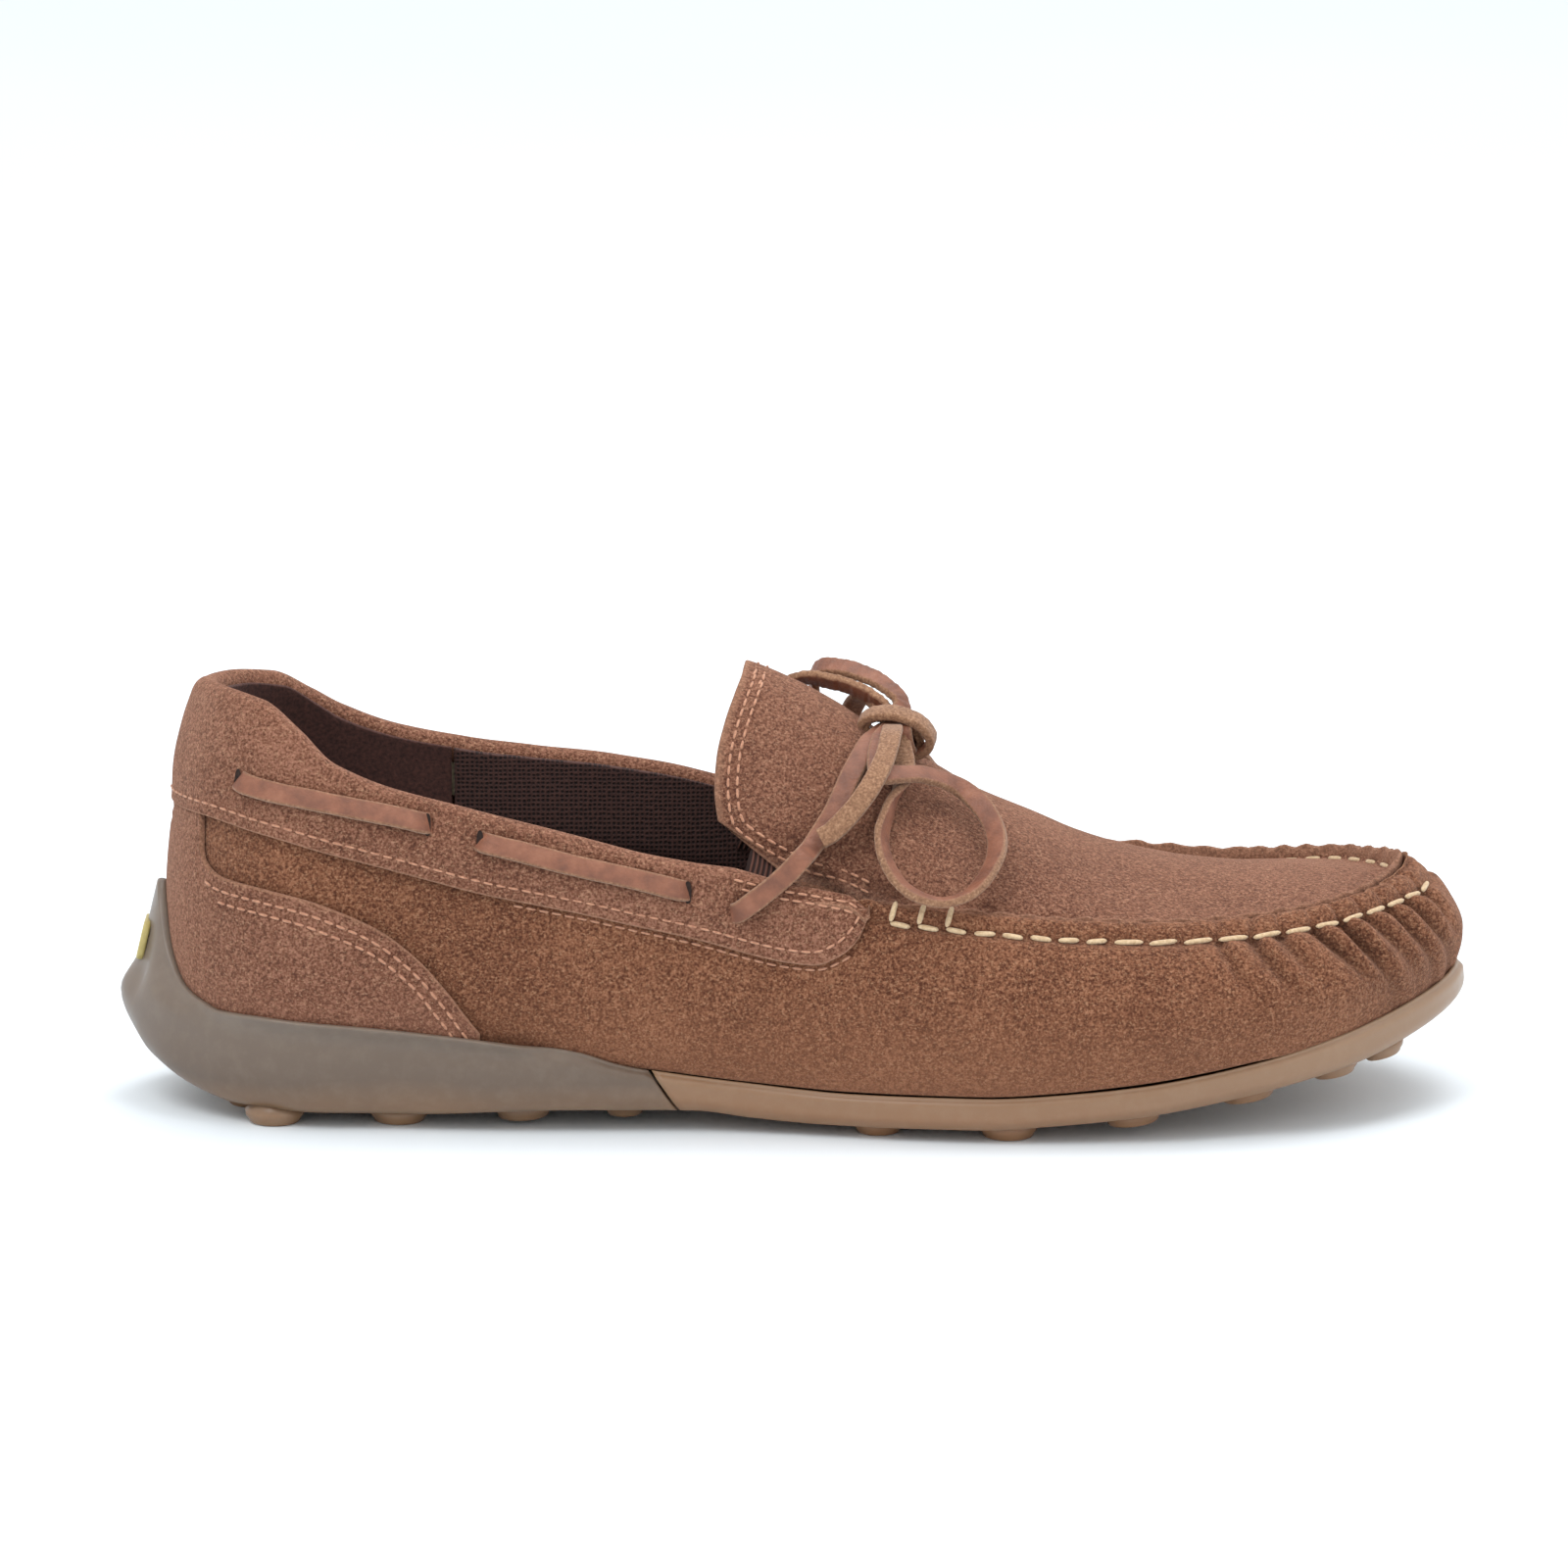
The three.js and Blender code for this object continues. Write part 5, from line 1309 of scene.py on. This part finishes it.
def heel_badge():
    """A small plain plate with rounded corners, proud of the rubber fin."""
    width, height, thick, corner, bevel = 11.0, 8.8, 1.6, 2.2, 0.35
    seat_x, seat_z, lean = -141.6, 35.0, 0.235
    outline = []
    for cx, cy, turn in ((1, 1, 0), (-1, 1, 90), (-1, -1, 180), (1, -1, 270)):
        for a in np.radians(np.linspace(turn, turn + 90, 7)):
            outline.append((cx * (width / 2 - corner), cy * (height / 2 - corner), math.cos(a), math.sin(a)))
    face = thick / 2
    rings = []
    for shrink, depth in ((corner, -face), (bevel, -face), (0, bevel - face), (0, face - bevel),
                          (bevel * 0.3, face - bevel * 0.3), (bevel, face), (corner, face)):
        ring = []
        for cx, cy, c, s in outline:
            y, z = cx + c * (corner - shrink), cy + s * (corner - shrink)
            ring.append((seat_x - depth * math.cos(lean) + z * math.sin(lean), -y,
                         seat_z + depth * math.sin(lean) + z * math.cos(lean)))
        rings.append(ring)
    fit(new_object("heel_badge_plate", *loft(np.array(rings))), BADGE, "badge", "heel_badge")


heel_badge()

# ------------------------------------------------------------------ machine stitches and the painted shade of the lace slots

def stitch_line(points, ups, pitch=2.8, length=2.1):
    """Stitches along a line of points: the start, the end and the up direction of each."""
    points, ups = np.asarray(points, float), np.asarray(ups, float)
    travel = travel_along(points)

    def at(s, values):
        return np.array([np.interp(s, travel, values[:, k]) for k in range(3)])

    return [(at(s, points), at(s + length, points), at(s + length / 2, ups))
            for s in np.arange(0.4, travel[-1] - length, pitch)]


def wall_stitches(rows, z_of, d_of):
    """Stitches along the wall at the heights z_of and the distances d_of."""
    return stitch_line(*zip(*(over_wall(side, p, z_of(side, p), d_of(p)) for side, p in rows)))


def counter_slope(p):
    return counter_z(p + 0.5) - counter_z(p - 0.5)


def band_slope(p):
    return min(abs(band_z(p + 0.5) - band_z(p - 0.5)), 1.2)


def above_band(inset):
    return lambda side, p: band_z(p) + inset * math.hypot(1, band_slope(p))


def counter_stitches():
    made = []
    for inset in COUNTER_ROWS:
        rows = round_heel(COUNTER_FRONT - 1.0 - inset * 0.6, 0.7)
        for wanted in (LATERAL, MEDIAL):
            made += wall_stitches(
                [(side, p) for side, p in rows if side == wanted and p > -130.5 + inset],
                lambda side, p: counter_top(p) - inset * math.hypot(1, counter_slope(p)),
                lambda p: OVERLAY_OUT + 0.12)
    fit(stitches_object("counter_stitches", made, 0.62, 0.62), THREAD_TAN, "seam_thread")


def collar_stitches():
    """A row above the band's lower edge, one on the wrap below it, and two below the top at the front."""
    made = []
    for side in (LATERAL, MEDIAL):
        made += wall_stitches(one_side(side, P_HEEL, 15.0, 0.7), above_band(2.3),
                              lambda p: OVERLAY_OUT + 0.22 + heel_lap(p))
        made += wall_stitches(one_side(side, -60, 13.0, 0.7), above_band(-1.5), lambda p: 0.1)
        for drop in (1.5, 3.1):
            made += wall_stitches(
                one_side(side, -14 + drop, 14.5, 0.7),
                lambda side, p: topline(side, p) - drop - 0.6 * (1 - smooth(p, -8, 6)) - 2.2 * tab_fall(p),
                lambda p: OVERLAY_OUT + 0.3)
    fit(stitches_object("collar_stitches", made, 0.55, 0.5), THREAD_TAN, "seam_thread")


counter_stitches()
collar_stitches()


def tongue_edge_line(side, inset):
    """Places (station, share) of a line set in from the tongue's free edge and its lower edge."""
    rear = tongue_rear[side]
    share = 1 - np.linspace(0, 1, 90) ** 0.8
    p = np.concatenate([rear(share), np.linspace(rear(0.0) + 0.8, 17.5, 40)])
    share = np.concatenate([share, np.zeros(40)])
    edge = apron_edge(side, p)[1]
    height = edge + (crown_z(p) - edge) * np.sin(math.pi / 2 * share) ** arch_power(p)
    dense = spline(np.stack([p, height], 1)[::4], 200)
    along = unit(np.gradient(dense, axis=0))
    p, height = (dense + inset * np.stack([-along[:, 1], along[:, 0]], 1)).T
    edge = apron_edge(side, p)[1]
    rise = np.clip((height - edge) / (crown_z(p) - edge), 0.0, 1)
    return p, 2 / math.pi * np.arcsin(rise ** (1 / arch_power(p)))


def tongue_stitches():
    made = []
    for inset in (2.2, 4.2):
        for side in (LATERAL, MEDIAL):
            p, share = tongue_edge_line(side, inset)
            made += stitch_line(*over_apron(side, p, share, apron_lift(side, p, share) + 0.12))
    thing = stitches_object("tongue_stitches", made, 0.6, 0.6)
    fit(thing, THREAD_TAN, "seam_thread", blend=TONGUE_BEND)


tongue_stitches()


def lace_slot_shadows():
    """Dark patches on the band where the lace dives through: painted shade in the slots' gaps."""
    half_width, half_height, roundness = 0.75, 2.35, 0.8
    parts = []
    for side in (LATERAL, MEDIAL):
        for slot in SLOTS:
            z = lace_z(slot)
            ring = []
            for a in whole_turn(24):
                dp, dz = (half * np.sign(v) * abs(v) ** roundness
                          for half, v in ((half_width, math.cos(a)), (half_height, math.sin(a))))
                ring.append(on_wall(side, slot + dp, z + dz, OVERLAY_OUT + 0.55))
            centre = on_wall(side, slot, z, OVERLAY_OUT + 0.35)
            ring = np.array(ring)
            rings = [ring, centre + (ring - centre) * 0.5, np.repeat(centre[None], len(ring), 0)]
            parts.append(loft(np.array(rings), caps=False))
    # Painted shade: one dark patch at each lace slot.
    fit(new_object("lace_slot_shadows", *joined(parts)), SLOT_SHADOW, "suede_overlay")


lace_slot_shadows()

# ------------------------------------------------------------------ floor, light and finish

def studio():
    mesh = bpy.data.meshes.new("floor")
    mesh.from_pydata([(-6, -6, 0), (6, -6, 0), (6, 6, 0), (-6, 6, 0)], [], [[0, 1, 2, 3]])
    floor = bpy.data.objects.new("floor", mesh)
    bpy.context.scene.collection.objects.link(floor)
    look = Look("floor")
    colour = look.ramp(look.noise(0.6, 2), (0.3, (232, 241, 248)), (0.7, (237, 245, 250)))
    wear(floor, look.finished({"Base Color": colour, "Roughness": 0.6}))
    world = bpy.data.worlds.new("studio")
    bpy.context.scene.world = world
    world.use_nodes = True
    sky = world.node_tree.nodes["Background"].inputs
    sky["Color"].default_value = (1, 1, 1, 1)
    sky["Strength"].default_value = 1.05

    def lamp(name, at, aim, size, power):
        data = bpy.data.lights.new(name, "AREA")
        data.shape = "SQUARE"
        data.size = size
        data.energy = power
        lamp_object = bpy.data.objects.new(name, data)
        bpy.context.scene.collection.objects.link(lamp_object)
        lamp_object.location = at
        lamp_object.rotation_euler = (Vector(aim) - Vector(at)).to_track_quat("-Z", "Y").to_euler()

    lamp("key", (-0.5, -0.7, 1.2), (0, 0, 0.04), 0.6, 6)
    lamp("fill", (0.9, -0.9, 0.6), (0, 0, 0.04), 0.9, 1.5)
    lamp("top", (0.25, 0.25, 1.3), (0.03, 0, 0.04), 0.9, 9)


studio()
bpy.context.scene.view_settings.view_transform = "Standard"
